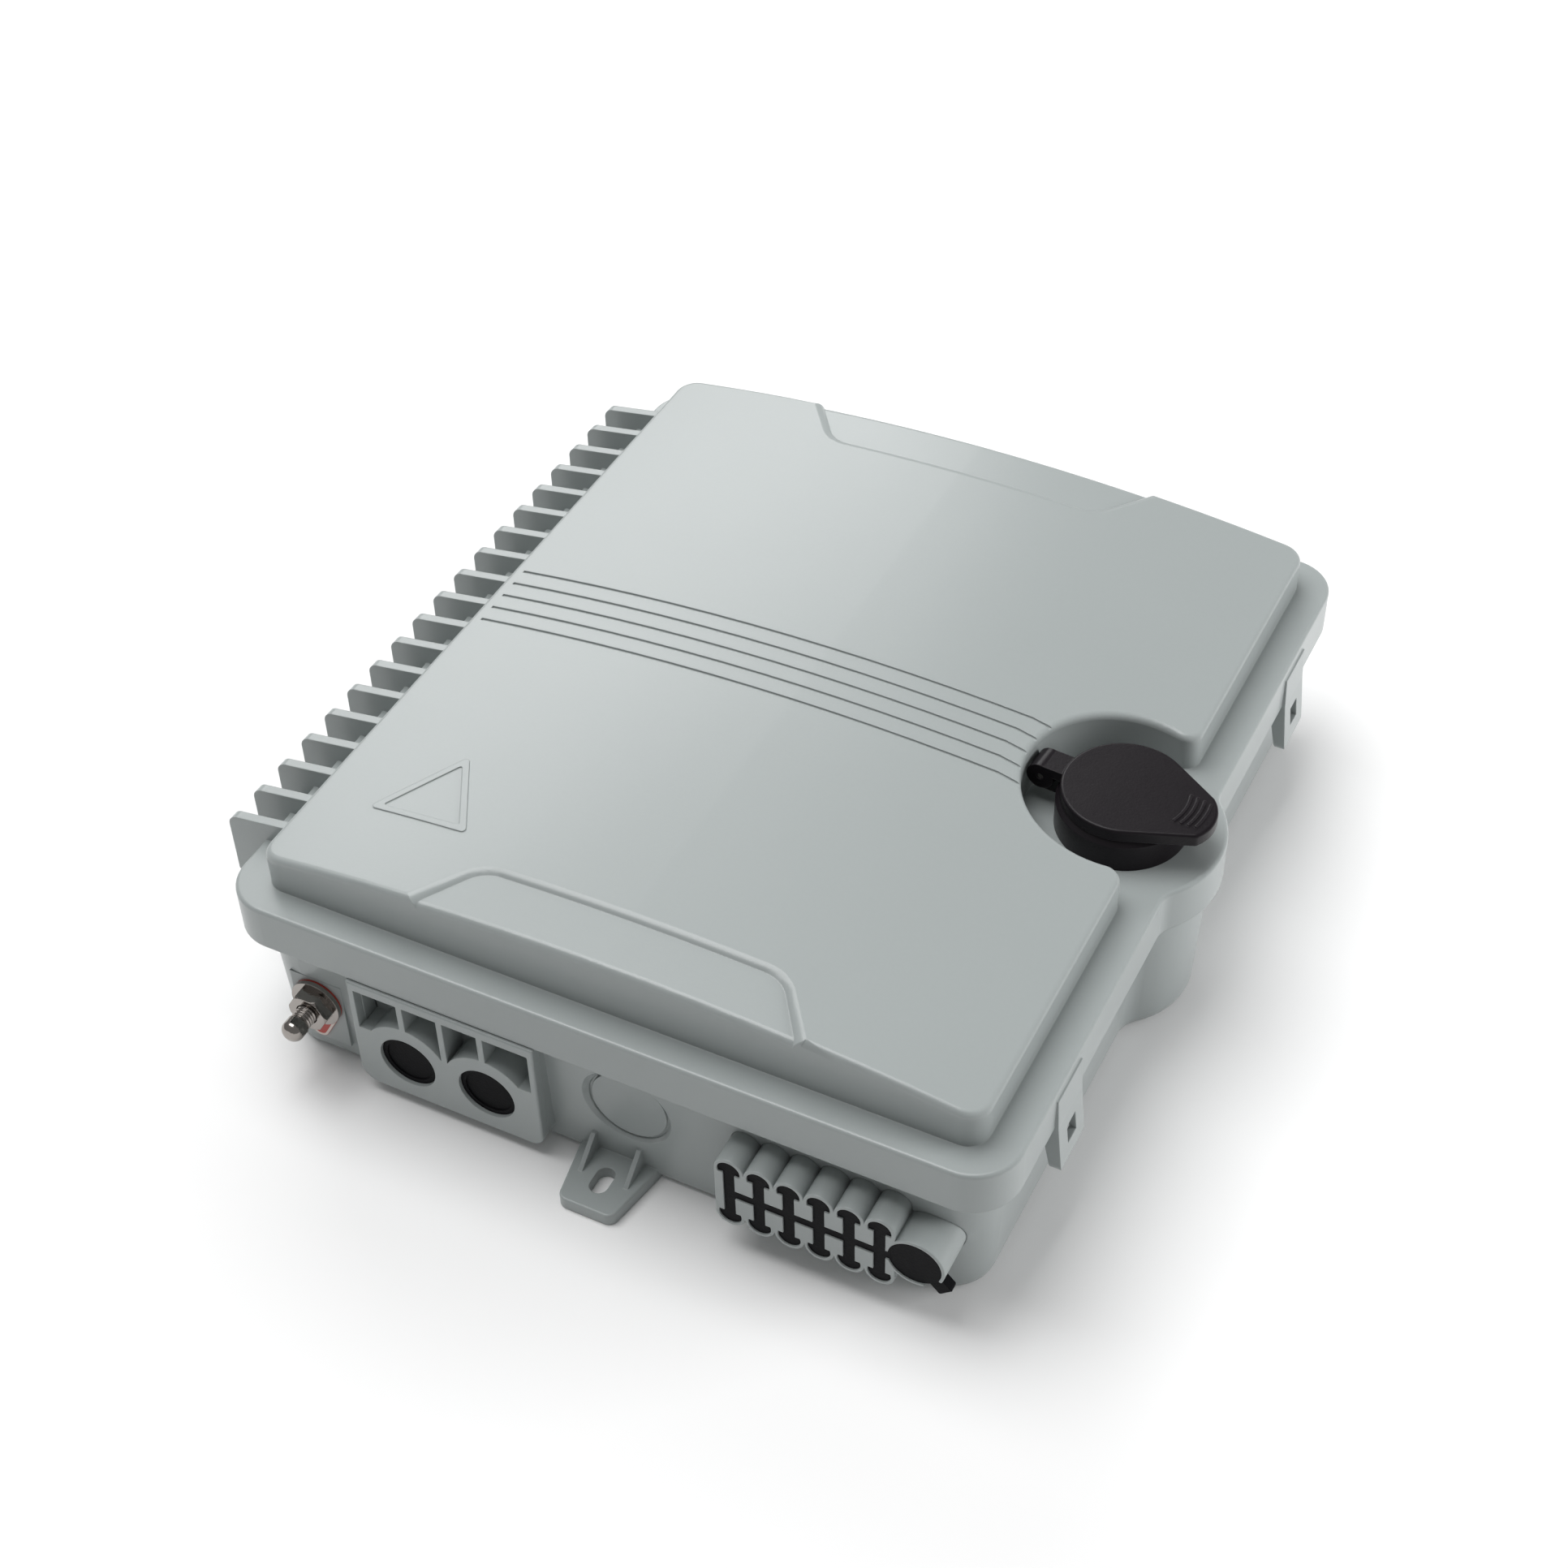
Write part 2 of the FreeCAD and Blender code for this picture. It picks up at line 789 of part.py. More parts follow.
def drop_body(grow, start, end):
    """Two scalloped rows of drop tubes and the round port beside them, grown by a fit gap."""
    columns = drop_columns()
    radius = s.drop_tube_radius + grow
    shapes = [along_y(x, z, radius, start, end) for x in columns for z in (s.drop_low_z, s.drop_high_z)]
    shapes.append(
        box_between((columns[0] - radius, columns[-1] + radius), (start, end), (s.drop_low_z, s.drop_high_z))
    )
    shapes.append(along_y(s.round_port_x, s.round_port_z, s.round_port_outer + grow, start, end))
    return fuse_all(shapes).removeSplitter()


def drop_slots(shrink, start, end):
    """The mushroom-ended stems and the slot that joins them, shrunk by a fit gap."""
    radius = s.drop_bulb_radius - shrink
    stem = s.drop_stem / 2 - shrink
    slot = s.drop_slot / 2 - shrink
    middle = (s.drop_low_z + s.drop_high_z) / 2
    columns = drop_columns()
    shapes = []
    for x in columns:
        shapes.append(box_between((x - stem, x + stem), (start, end), (s.drop_low_z, s.drop_high_z)))
        for z, side in ((s.drop_low_z, -1), (s.drop_high_z, 1)):
            bulb = along_y(x, z, radius, start, end)
            flat = sorted((z - side * radius / 3, z + side * 2 * radius))
            shapes.append(bulb.common(box_between((x - 5, x + 5), (start, end), flat)))
    last = s.round_port_x - s.round_port_inner + 1
    shapes.append(box_between((columns[0], last), (start, end), (middle - slot, middle + slot)))
    return fuse_all(shapes).removeSplitter()


def floor_boss(x, y):
    """A low round post on the floor."""
    return Part.makeCylinder(s.boss_radius, s.bracket_seat - 1, Vector(x, y, 1))


def floor_bore(x, y):
    """The blind screw hole in a floor post."""
    radius = s.screw_radius + s.screw_gap
    return Part.makeCylinder(radius, s.bracket_seat, Vector(x, y, s.boss_bore_floor))


def base_shell():
    shell = tub().cut(fuse_all(tub_hollow()[:2])).cut(fuse_all(tub_hollow()[2:]))
    additions = [mounting_ear(side) for side in (-1, 1)]
    additions += [hinge_arm(y) for y in hinge_places()]
    additions += [snap_catch(side * s.tongue_y) for side in (-1, 1)]
    additions.append(trunk_profile(s.trunk_pad_front, -s.base_half_y + 3))
    shell = fuse_all([shell] + additions)
    additions = [strike_boss(), ground_pad()]
    additions += [floor_boss(x, y) for x, y in floor_bosses()]
    additions += [tray_rest(x, y) for x, y in tray_rests()]
    shell = fuse_all([shell] + additions)
    tools = [
        trunk_opening(s.drop_fit),
        drop_body(s.drop_fit, s.drop_front, -s.base_half_y + 22).common(drop_reach()),
        along_y(s.ground_x, s.ground_z, s.stud_radius + s.screw_gap, s.stud_front, s.stud_back),
        knockout_recess(),
    ]
    tools += [floor_bore(x, y) for x, y in floor_bosses()]
    for x, y in strike_screw_places():
        hole = Vector(x, y, s.strike_low - s.screw_long)
        tools.append(Part.makeCylinder(s.screw_radius + s.screw_gap, s.screw_long + 1, hole))
    return shell.cut(tools)


def ground_pad():
    """A thickened, flat-faced patch of the front wall that the ground terminal is clamped to."""
    half = s.ground_pad_half
    return box_between(
        (s.ground_x - half, s.ground_x + half),
        (s.ground_pad_front, s.ground_pad_back),
        (s.ground_z - s.ground_pad_low, s.ground_z + half),
    )


def drop_reach():
    """Keeps the drop port opening inside the front wall."""
    return box_between((0, s.base_half_x), (s.drop_front, -s.base_half_y + 20), (0, s.skirt_low))


def knockout_recess():
    """A dished round recess whose flat disc is a thin web that an installer can punch out."""
    front = -s.base_half_y - 3
    wall_y = -s.base_half_y + wall_inset(s.knockout_z)
    centre = Vector(s.knockout_x, front, s.knockout_z)
    depth = wall_y + s.knockout_depth - front
    dish = Part.makeCone(
        s.knockout_radius + 0.8 * (depth - s.knockout_depth),
        s.knockout_disc_radius,
        depth,
        centre,
        Vector(0, 1, 0),
    )
    groove_back = wall_y + s.knockout_depth + 0.6
    ring = along_y(s.knockout_x, s.knockout_z, s.knockout_disc_radius, front, groove_back)
    inner_radius = s.knockout_disc_radius - s.knockout_groove
    inner = along_y(s.knockout_x, s.knockout_z, inner_radius, front, wall_y + 3)
    return dish.fuse(ring.cut(inner))


def strike_boss():
    """A pad inside the lock bulge that carries the strike plate."""
    pad = box_between((s.strike_boss_x, s.lock_x + s.bulge_radius), (-9, 9), (20, s.strike_low))
    return pad.common(case_slab(1.5 + s.draft_inset / 2, 0, s.strike_low))


def strike_screw_places():
    return [(s.strike_screw_x, side * s.strike_screw_y) for side in (-1, 1)]


def bracket_screw_places():
    """Screw places along the adapter bracket's foot."""
    low, high = bracket_span()
    y = s.adapter_y + s.adapter_flange_thick / 2 + s.bracket_foot - 4
    return [(x, y) for x in (low + 12, (low + high) / 2, high - 12)]


def bracket_span():
    first = s.adapter_first_x - s.bracket_side
    last = s.adapter_first_x + (s.adapter_count - 1) * s.adapter_pitch + s.bracket_side
    return first, last


def tray_screw_places():
    return [(s.tray_axis_x + 3, y) for y in (s.tray_lug_front_y + 22, s.tray_lug_back_y - 22)]


def clamp_screw_places():
    return [(s.trunk_x + side * s.clamp_foot_x, s.clamp_y) for side in (-1, 1)]


def comb_screw_places():
    middle = s.drop_first_x + (s.drop_columns - 1) * s.drop_pitch / 2
    return [(middle + side * s.comb_screw_x, s.comb_y) for side in (-1, 1)]


def floor_bosses():
    """Every screw post on the floor."""
    return bracket_screw_places() + tray_screw_places() + clamp_screw_places() + comb_screw_places()


def tray_rests():
    return [(s.tray_right - 12, s.tray_front + 14), (s.tray_right - 12, s.tray_back - 14)]


def tray_rest(x, y):
    """A post that the splice tray lies on."""
    return Part.makeCone(5, 3.5, s.tray_low - 1.3, Vector(x, y, 1))


shaped("base_shell", base_shell())


# ---------------------------------------------------------------- fasteners


def screw(length, head_radius=None):
    """A pan-head screw with a cross recess; its shank hangs below the seat at z = 0."""
    radius = head_radius or s.screw_head_radius
    head = Part.makeCylinder(radius, s.screw_head_high)
    rim = [edge for edge in head.Edges if edge.BoundBox.ZMin > s.screw_head_high - 0.01 and edge.Closed]
    head = head.makeFillet(0.5 * s.screw_head_high, rim)
    arm = 0.62 * radius
    width = 0.13 * radius
    depth = 0.5 * s.screw_head_high
    long_slot = box_between((-arm, arm), (-width, width), (depth, 2 * s.screw_head_high))
    cross_slot = box_between((-width, width), (-arm, arm), (depth, 2 * s.screw_head_high))
    shank = Part.makeCylinder(s.screw_radius, length, Vector(0, 0, -length))
    return head.cut([long_slot, cross_slot]).fuse(shank).removeSplitter()


def screws(label, places, length=None):
    """A group of identical upright screws, seated at each (x, y, z)."""
    return shaped(label, copies(screw(length or s.short_screw_long), places))


def hexagon(flats, start, direction, thickness, bore):
    """A hexagonal nut with chamfered corners and a plain bore."""
    corner = flats / math.sqrt(3)
    points = [
        Vector(corner * math.cos(math.radians(60 * k)), corner * math.sin(math.radians(60 * k)), 0)
        for k in range(7)
    ]
    body = Part.Face(Part.makePolygon(points)).extrude(Vector(0, 0, thickness))
    half = thickness / 2
    cone = Part.makeCone(corner + 1.9 * half - 0.25 * half, corner - 0.25 * half - 0.1, half * 2)
    body = body.common(cone).common(cone.mirror(Vector(0, 0, half), Vector(0, 0, 1)))
    body = body.cut(Part.makeCylinder(bore, thickness + 2, Vector(0, 0, -1)))
    rotation = FreeCAD.Rotation(Vector(0, 0, 1), Vector(*direction))
    body.Placement = FreeCAD.Placement(Vector(*start), rotation)
    return body


# ---------------------------------------------------------------- seals, pins and port parts in the base


def base_gasket():
    """The sealing ring in the groove of the tub's mouth."""
    low = s.base_top - s.seat_groove_depth
    outer = case_slab(s.seat_groove_out + s.gasket_gap, low, s.gasket_top)
    return outer.cut(case_slab(s.seat_groove_in - s.gasket_gap, low, s.gasket_top))


def hinge_pins():
    pin = along_y(0, 0, s.hinge_pin_radius, -s.hinge_pin_length / 2, s.hinge_pin_length / 2)
    ends = [edge for edge in pin.Edges if edge.Closed]
    return copies(pin.makeChamfer(0.4, ends), [(s.hinge_x, y, s.hinge_z) for y in hinge_places()])


def trunk_pockets():
    """The four open pockets above the two trunk holes, cut down to the rings around the holes."""
    back = s.trunk_front + s.trunk_pocket_depth
    holes = trunk_hole_x()
    edges = [s.trunk_x - s.trunk_half + 2.3, holes[0], s.trunk_x, holes[1], s.trunk_x + s.trunk_half - 2.0]
    top = s.trunk_high - s.trunk_bar
    rings = [along_y(x, s.trunk_z, s.trunk_ring_radius, s.trunk_front, back) for x in holes]
    pockets = []
    for index, (left, right) in enumerate(zip(edges, edges[1:])):
        left_rib = 0 if index == 0 else s.trunk_rib / 2
        right_rib = 0 if index == 3 else s.trunk_rib / 2
        span = (left + left_rib, right - right_rib)
        room = box_between(span, (s.trunk_front, back), (s.trunk_pocket_floor - 4.5, top))
        if index in (0, 3):
            floor = box_between((left, right), (s.trunk_front, back), (0, s.trunk_pocket_floor))
            room = room.cut(floor)
        pockets.append(room.cut(rings))
    return pockets


def trunk_port_block():
    """The two-hole entry block: a framed face outside the wall and a neck through it."""
    face = trunk_profile(s.trunk_front, s.trunk_pad_front)
    rim = [edge for edge in face.Edges if all(abs(v.Y - s.trunk_front) < 0.01 for v in edge.Vertexes)]
    face = face.makeFillet(0.7, rim)
    block_shape = face.fuse(trunk_opening(0).common(box_between(
        (-s.base_half_x, s.base_half_x), (s.trunk_pad_front - 0.1, s.trunk_neck_back), (0, s.skirt_low)
    )))
    holes = [
        along_y(x, s.trunk_z, s.trunk_hole_radius, s.trunk_front - 1, s.trunk_neck_back + 1)
        for x in trunk_hole_x()
    ]
    return block_shape.cut(holes + trunk_pockets())


def trunk_plugs():
    """Blanking plugs that close the two trunk holes until a cable is fitted."""
    radius = s.trunk_hole_radius - s.screw_gap
    shapes = []
    for x in trunk_hole_x():
        plug = along_y(x, s.trunk_z, radius, s.trunk_plug_front, s.trunk_plug_back)
        dish = along_y(x, s.trunk_z, radius - 1.6, s.trunk_plug_front - 1, s.trunk_plug_front + 0.5)
        shapes.append(plug.cut(dish))
    return Part.makeCompound(shapes)


def drop_port_comb():
    """The scalloped drop cable port moulding that passes through the front wall."""
    body = drop_body(0, s.drop_front, s.drop_back)
    front = [edge for edge in body.Edges if all(abs(v.Y - s.drop_front) < 0.01 for v in edge.Vertexes)]
    body = body.makeFillet(0.35, front)
    bore = along_y(s.round_port_x, s.round_port_z, s.round_port_inner, s.drop_front - 1, s.drop_back + 1)
    mouth = [
        (s.round_port_x, s.drop_front - 1, s.round_port_z),
        (s.round_port_x + 16, s.drop_front - 1, s.round_port_z - 7.5),
        (s.round_port_x + 6, s.drop_front - 1, s.round_port_z - 16.5),
    ]
    return body.cut([drop_slots(0, s.drop_front - 1, s.drop_back + 1), bore, prism(mouth, (0, 1, 0), 10)])


def drop_port_rubber():
    """The rubber insert whose stems and bulbs close the twelve drop cable ports."""
    return drop_slots(s.screw_gap, s.drop_front + s.drop_recess, s.drop_back)


def round_port_plug():
    """A blanking plug with a pull tab that sticks out through the port's open corner."""
    radius = s.round_port_inner - s.screw_gap
    plug = along_y(s.round_port_x, s.round_port_z, radius, s.drop_front + s.drop_recess, s.drop_back)
    tab = box_between((radius - 2, radius + 5.5), (0, 3.2), (-2.4, 2.4))
    edges = [edge for edge in tab.Edges if all(v.X > radius + 5 for v in edge.Vertexes)]
    tab = tab.makeFillet(1.0, edges)
    tab.rotate(Vector(0, 0, 0), Vector(0, 1, 0), 47)
    tab.translate(Vector(s.round_port_x, s.drop_front + 1.5, s.round_port_z))
    slot = drop_slots(0, s.drop_front, s.drop_back)
    return plug.cut(slot).fuse(tab.cut(along_y(s.round_port_x, s.round_port_z, radius - 1, -200, 0)))


# ground terminal ------------------------------------------------


def ground_stud():
    """A threaded stud with a domed end, drawn as a turned profile about its own axis."""
    length = s.stud_back - s.stud_front
    root = s.stud_thread_root
    crest = s.stud_thread_crest
    points = [Vector(0, 0, 0), Vector(root - 0.5, 0, 0)]
    turns = int(length - 6)
    points.append(Vector(root, 0, 0.6))
    for turn in range(turns):
        z = 1.0 + turn
        points += [Vector(root, 0, z), Vector(crest, 0, z + 0.35), Vector(crest, 0, z + 0.6)]
    collar = points[-1].z + 0.4
    points += [Vector(s.stud_radius, 0, collar), Vector(s.stud_radius, 0, length - 2.4)]
    profile = [Part.makeLine(a, b) for a, b in zip(points, points[1:])]
    shoulder = points[-1]
    crown = Vector(0.5, 0, length)
    half_way = Vector(0.76 * s.stud_radius, 0, length - 0.75)
    profile.append(Part.Arc(shoulder, half_way, crown).toShape())
    profile.append(Part.makeLine(crown, Vector(0, 0, length)))
    profile.append(Part.makeLine(Vector(0, 0, length), points[0]))
    stud = Part.Face(Part.Wire(profile)).revolve(Vector(0, 0, 0), Vector(0, 0, 1), 360)
    stud.Placement = FreeCAD.Placement(
        Vector(s.ground_x, s.stud_back, s.ground_z), FreeCAD.Rotation(Vector(1, 0, 0), 90)
    )
    return stud


def ground_tag():
    """A drop-shaped tag under the washer: a round head on the stud that narrows to a tip below."""
    back = s.ground_pad_front
    front = back - s.ground_tag_thick
    tip_x = s.ground_x + s.tag_tip_shift
    tip_z = s.ground_z - s.tag_tip_drop
    reach = math.hypot(s.tag_tip_shift, s.tag_tip_drop)
    lean = math.atan2(-s.tag_tip_drop, s.tag_tip_shift)
    spread = math.acos((s.tag_head_radius - s.tag_tip_radius) / reach)
    sides = []
    for turn in (lean - spread, lean + spread):
        away = (math.cos(turn), math.sin(turn))
        head = (s.ground_x + s.tag_head_radius * away[0], front, s.ground_z + s.tag_head_radius * away[1])
        tip = (tip_x + s.tag_tip_radius * away[0], front, tip_z + s.tag_tip_radius * away[1])
        sides.append((head, tip))
    (head_a, tip_a), (head_b, tip_b) = sides
    tag = fuse_all([
        along_y(s.ground_x, s.ground_z, s.tag_head_radius, front, back),
        along_y(tip_x, tip_z, s.tag_tip_radius, front, back),
        prism([head_a, tip_a, tip_b, head_b], (0, 1, 0), s.ground_tag_thick),
    ])
    hole = along_y(s.ground_x, s.ground_z, s.stud_radius + s.screw_gap, front - 1, back + 1)
    return tag.removeSplitter().cut(hole)


def ground_nut_at(seat):
    """A nut on the stud whose rear face is at the given y."""
    bore = s.stud_radius + s.screw_gap
    return hexagon(s.ground_nut_flats, (s.ground_x, seat, s.ground_z), (0, -1, 0), s.ground_nut_thick, bore)


def ring_along_y(label, x, z, outer, inner, start, end):
    """A plain washer along Y as a sketch-based body."""
    solid = Solid(label)
    sketch = solid.sketch("XZ_Plane", f"-({start})")
    add_circle(sketch, x, z, outer)
    add_circle(sketch, x, z, inner)
    solid.pad(sketch, f"({end}) - ({start})", down=True)
    return node(label, solid.body)


tag_front = "ground_pad_front - ground_tag_thick"
washer_front = f"{tag_front} - washer_thick"

stud_bore = "stud_radius + screw_gap"

ring_along_y("ground_washer", "ground_x", "ground_z", "washer_radius", stud_bore, washer_front, tag_front)
shaped("ground_tag", ground_tag())
shaped("base_gasket", base_gasket())
shaped("hinge_pins", hinge_pins())
shaped("trunk_port_block", trunk_port_block())
shaped("trunk_plugs", trunk_plugs())
shaped("drop_port_comb", drop_port_comb())
shaped("drop_port_rubber", drop_port_rubber())
shaped("round_port_plug", round_port_plug())
shaped("ground_stud", ground_stud())
shaped("ground_nut", ground_nut_at(amount(washer_front)))
shaped("ground_inner_nut", ground_nut_at(s.ground_pad_back + s.ground_bar_thick + s.ground_nut_thick))
ground_bar = cut(
    block(
        ("ground_x - 6", "ground_x + 14"),
        ("ground_pad_back", "ground_pad_back + ground_bar_thick"),
        ("ground_z - 7", "ground_z + 7"),
    ),
    rod("+Y", "ground_x", "ground_pad_back - 1", "ground_z", stud_bore, "ground_bar_thick + 2"),
    rod("+Y", "ground_x + 10.5", "ground_pad_back - 1", "ground_z", "2.1", "ground_bar_thick + 2"),
)
node("ground_bar", ground_bar)


# ---------------------------------------------------------------- lid shell


def crown(drop, side=0):
    """The space under the arched panel top, lowered by drop; side picks the tilted end recesses."""
    radius = (s.panel_half_x**2 + s.crown_rise**2) / (2 * s.crown_rise)
    ridge = s.panel_edge + s.crown_rise
    space = along_y(0, ridge - radius, radius - drop, -s.panel_half_y - 8, s.panel_half_y + 8)
    if side:
        space.rotate(Vector(0, side * s.recess_back_y, ridge), Vector(1, 0, 0), -side * s.recess_tilt)
        space.translate(Vector(0, 0, -s.recess_drop))
    return space


def recess_region(side, grow):
    """The tapered area at one end of the panel where the top is lowered."""
    slope = (s.recess_front_half - s.recess_back_half) / (s.panel_half_y - s.recess_back_y)
    back = s.recess_back_half + grow
    front = s.recess_front_half + grow + 6 * slope
    low = s.ledge_top - 8
    outline = [
        (-back, side * (s.recess_back_y - grow), low),
        (back, side * (s.recess_back_y - grow), low),
        (front, side * (s.panel_half_y + 6), low),
        (-front, side * (s.panel_half_y + 6), low),
    ]
    region = prism(outline, (0, 0, 1), 40)
    inner = [
        edge
        for edge in region.Edges
        if is_upright(edge) and abs(edge.Vertexes[0].Y) < s.recess_back_y - grow + 1
    ]
    return region.makeFillet(s.recess_round + grow, inner)


def panel_part(inset, low, drop, side):
    return slab(panel_outline(inset, low), low, s.panel_edge + 20).common(crown(drop, side))


def soften_top(panel):
    """Round the edges where the panel's sides meet its top."""
    edges = []
    for edge in panel.Edges:
        middle = edge.valueAt((edge.FirstParameter + edge.LastParameter) / 2)
        if middle.z > s.ledge_top + 4 and not is_upright(edge):
            edges.append(edge)
    return panel.makeFillet(s.panel_round, edges)


def outside_recesses():
    """The space under the crown between the two end recesses, with the recess edges rounded over."""
    wide = s.panel_half_x + 4
    long = s.panel_half_y + 4
    around = box_between((-wide, wide), (-long, long), (s.ledge_top - 10, s.panel_edge + 20))
    space = crown(-0.02).common(around)
    space = space.cut([recess_region(side, -s.recess_edge_shift) for side in (-1, 1)])
    edges = []
    for edge in space.Edges:
        middle = edge.valueAt((edge.FirstParameter + edge.LastParameter) / 2)
        inside = abs(middle.x) < wide - 1 and abs(middle.y) < long - 0.1
        if middle.z > s.panel_edge + 0.5 and inside and not is_upright(edge):
            edges.append(edge)
    return space.makeFillet(s.recess_edge_round, edges)


def raised_panel():
    """The outside of the raised panel with a lowered recess at each end."""
    low = s.ledge_top - 1
    middle = soften_top(panel_part(0, low, 0, 0)).common(outside_recesses())
    ends = [
        soften_top(panel_part(0, low, 0, side)).common(recess_region(side, s.recess_lap)) for side in (-1, 1)
    ]
    return fuse_all([middle] + ends)


def panel_room(inset, low):
    """The space under the raised panel, one wall thickness inside its outer faces."""
    regions = [recess_region(side, inset) for side in (-1, 1)]
    middle = panel_part(inset, low, inset, 0).cut(regions)
    ends = [panel_part(inset, low, inset, side).common(region) for side, region in zip((-1, 1), regions)]
    return fuse_all([middle] + ends)


def panel_grooves():
    """Long thin grooves across the panel, each ending in a short hook beside the lock well."""
    strips = []
    half = s.groove_wide / 2
    for index in range(int(s.groove_count)):
        y = (index - (s.groove_count - 1) / 2) * s.groove_pitch
        end = s.lock_x - math.sqrt(s.well_radius**2 - y**2) - 7.5
        strip = box_between((s.groove_start, end), (y - half, y + half), (s.ledge_top + 5, s.panel_edge + 20))
        hook = box_between((0, s.groove_hook), (-half, half), (s.ledge_top + 5, s.panel_edge + 20))
        hook.rotate(Vector(0, 0, 0), Vector(0, 0, 1), s.groove_turn)
        hook.translate(Vector(end - 0.2, y, 0))
        strips.append(strip.fuse(hook))
    return fuse_all(strips).cut(crown(s.groove_deep))


def rounded_triangle(radius, corner, low, high):
    """A triangle with its apex towards +Y, its corners rounded."""
    points = []
    for angle in (90, 210, 330):
        x = s.emblem_x + radius * math.cos(math.radians(angle))
        y = s.emblem_y + radius * math.sin(math.radians(angle))
        points.append((x, y, low))
    body = prism(points, (0, 0, 1), high - low)
    return body.makeFillet(corner, [edge for edge in body.Edges if is_upright(edge)])


def emblem():
    """A plain raised triangular outline."""
    low = s.ledge_top + 5
    high = s.panel_edge + 20
    outer = rounded_triangle(s.emblem_radius, s.emblem_corner, low, high)
    inner = rounded_triangle(s.emblem_radius - 2 * s.emblem_width, s.emblem_corner / 2, low, high)
    return outer.cut(inner).common(crown(-s.emblem_rise))


def rib_centres():
    middle = (s.rib_count - 1) / 2
    return [(index - middle) * s.rib_pitch for index in range(int(s.rib_count))]


def lid_rib(y):
    """One of the fins along the hinge side; its foot is round about the hinge axis."""
    start = y - s.rib_thick / 2
    slope_x = s.rib_tip_x + s.rib_round
    foot = s.rib_foot_radius
    drop_z = s.hinge_z - math.sqrt(foot**2 - (s.rib_tip_x - s.hinge_x) ** 2)
    inner_z = s.hinge_z - math.sqrt(foot**2 - (s.rib_inner_x - s.hinge_x) ** 2)

    def at(x, z):
        return Vector(x, start, z)

    sole = at(s.hinge_x, s.hinge_z - foot)
    bend = math.sqrt(0.5) * s.rib_round
    tip_low = s.rib_tip_top - s.rib_round
    shoulder = at(slope_x - bend, tip_low + bend)
    edges = [
        Part.makeLine(at(s.rib_root_x, s.rib_top), at(slope_x, s.rib_tip_top)),
        Part.Arc(at(slope_x, s.rib_tip_top), shoulder, at(s.rib_tip_x, tip_low)).toShape(),
        Part.makeLine(at(s.rib_tip_x, tip_low), at(s.rib_tip_x, drop_z)),
        Part.Arc(at(s.rib_tip_x, drop_z), sole, at(s.rib_inner_x, inner_z)).toShape(),
        Part.makeLine(at(s.rib_inner_x, inner_z), at(s.rib_inner_x, s.ledge_top - 1.5)),
        Part.makeLine(at(s.rib_inner_x, s.ledge_top - 1.5), at(s.rib_root_x, s.ledge_top - 1.5)),
        Part.makeLine(at(s.rib_root_x, s.ledge_top - 1.5), at(s.rib_root_x, s.rib_top)),
    ]
    return Part.Face(Part.Wire(edges)).extrude(Vector(0, s.rib_thick, 0))


def snap_tongue(y):
    """A springy tab with a window that hooks over a catch on the tub's right wall."""
    start = y - s.tongue_width / 2
    reach = s.tongue_foot_x - s.tongue_thick
    outline = [
        (s.rim_half_x - 2, start, s.ledge_top - 3.5),
        (s.tongue_top_x, start, s.ledge_top - 4.5),
        (s.tongue_top_x + 0.6, start, s.skirt_low - 0.5),
        (s.tongue_foot_x, start, s.tongue_foot_z + 2),
        (s.tongue_foot_x - 0.6, start, s.tongue_foot_z),
        (reach + 0.4, start, s.tongue_foot_z),
        (reach - 0.1, start, s.tongue_foot_z + 2),
        (s.tongue_top_x - 1.2, start, s.skirt_low),
        (s.rim_half_x - 2, start, s.skirt_low),
    ]
    tongue = prism(outline, (0, 1, 0), s.tongue_width)
    for side in (-1, 1):
        edge_y = y + side * (s.tongue_width / 2 - 0.9)
        gusset = [
            (s.tongue_top_x, edge_y - 0.9, s.skirt_low + 1),
            (s.tongue_foot_x - 1, edge_y - 0.9, s.tongue_foot_z + 1),
            (s.tongue_foot_x - 3.4, edge_y - 0.9, s.tongue_foot_z + 1),
            (s.tongue_top_x - 3.0, edge_y - 0.9, s.skirt_low - 9),
            (s.tongue_top_x - 3.0, edge_y - 0.9, s.skirt_low + 1),
        ]
        tongue = tongue.fuse(prism(gusset, (0, 1, 0), 1.8))
    span = (s.base_half_x, s.tongue_foot_x + 3)
    half = s.tongue_width / 2
    frame = box_between(span, (y - half, y + half), (s.tongue_foot_z, s.ledge_top))
    foot_top = s.tongue_foot_z + 0.01
    corners = [edge for edge in frame.Edges if edge.BoundBox.XLength > 1 and edge.BoundBox.ZMax < foot_top]
    half = s.window_width / 2
    window = box_between(span, (y - half, y + half), (s.window_low, s.window_high))
    return tongue.common(frame.makeFillet(s.tongue_corner, corners)).cut(window)


def lid_rim():
    """The skirt over the tub's mouth and the ledge around the panel."""
    rim = slab(rim_outline(0, s.skirt_low), s.skirt_low, s.ledge_top)
    top = [edge for edge in rim.Edges if edge.BoundBox.ZMin > s.ledge_top - 0.01]
    return rim.makeFillet(s.ledge_round, top)


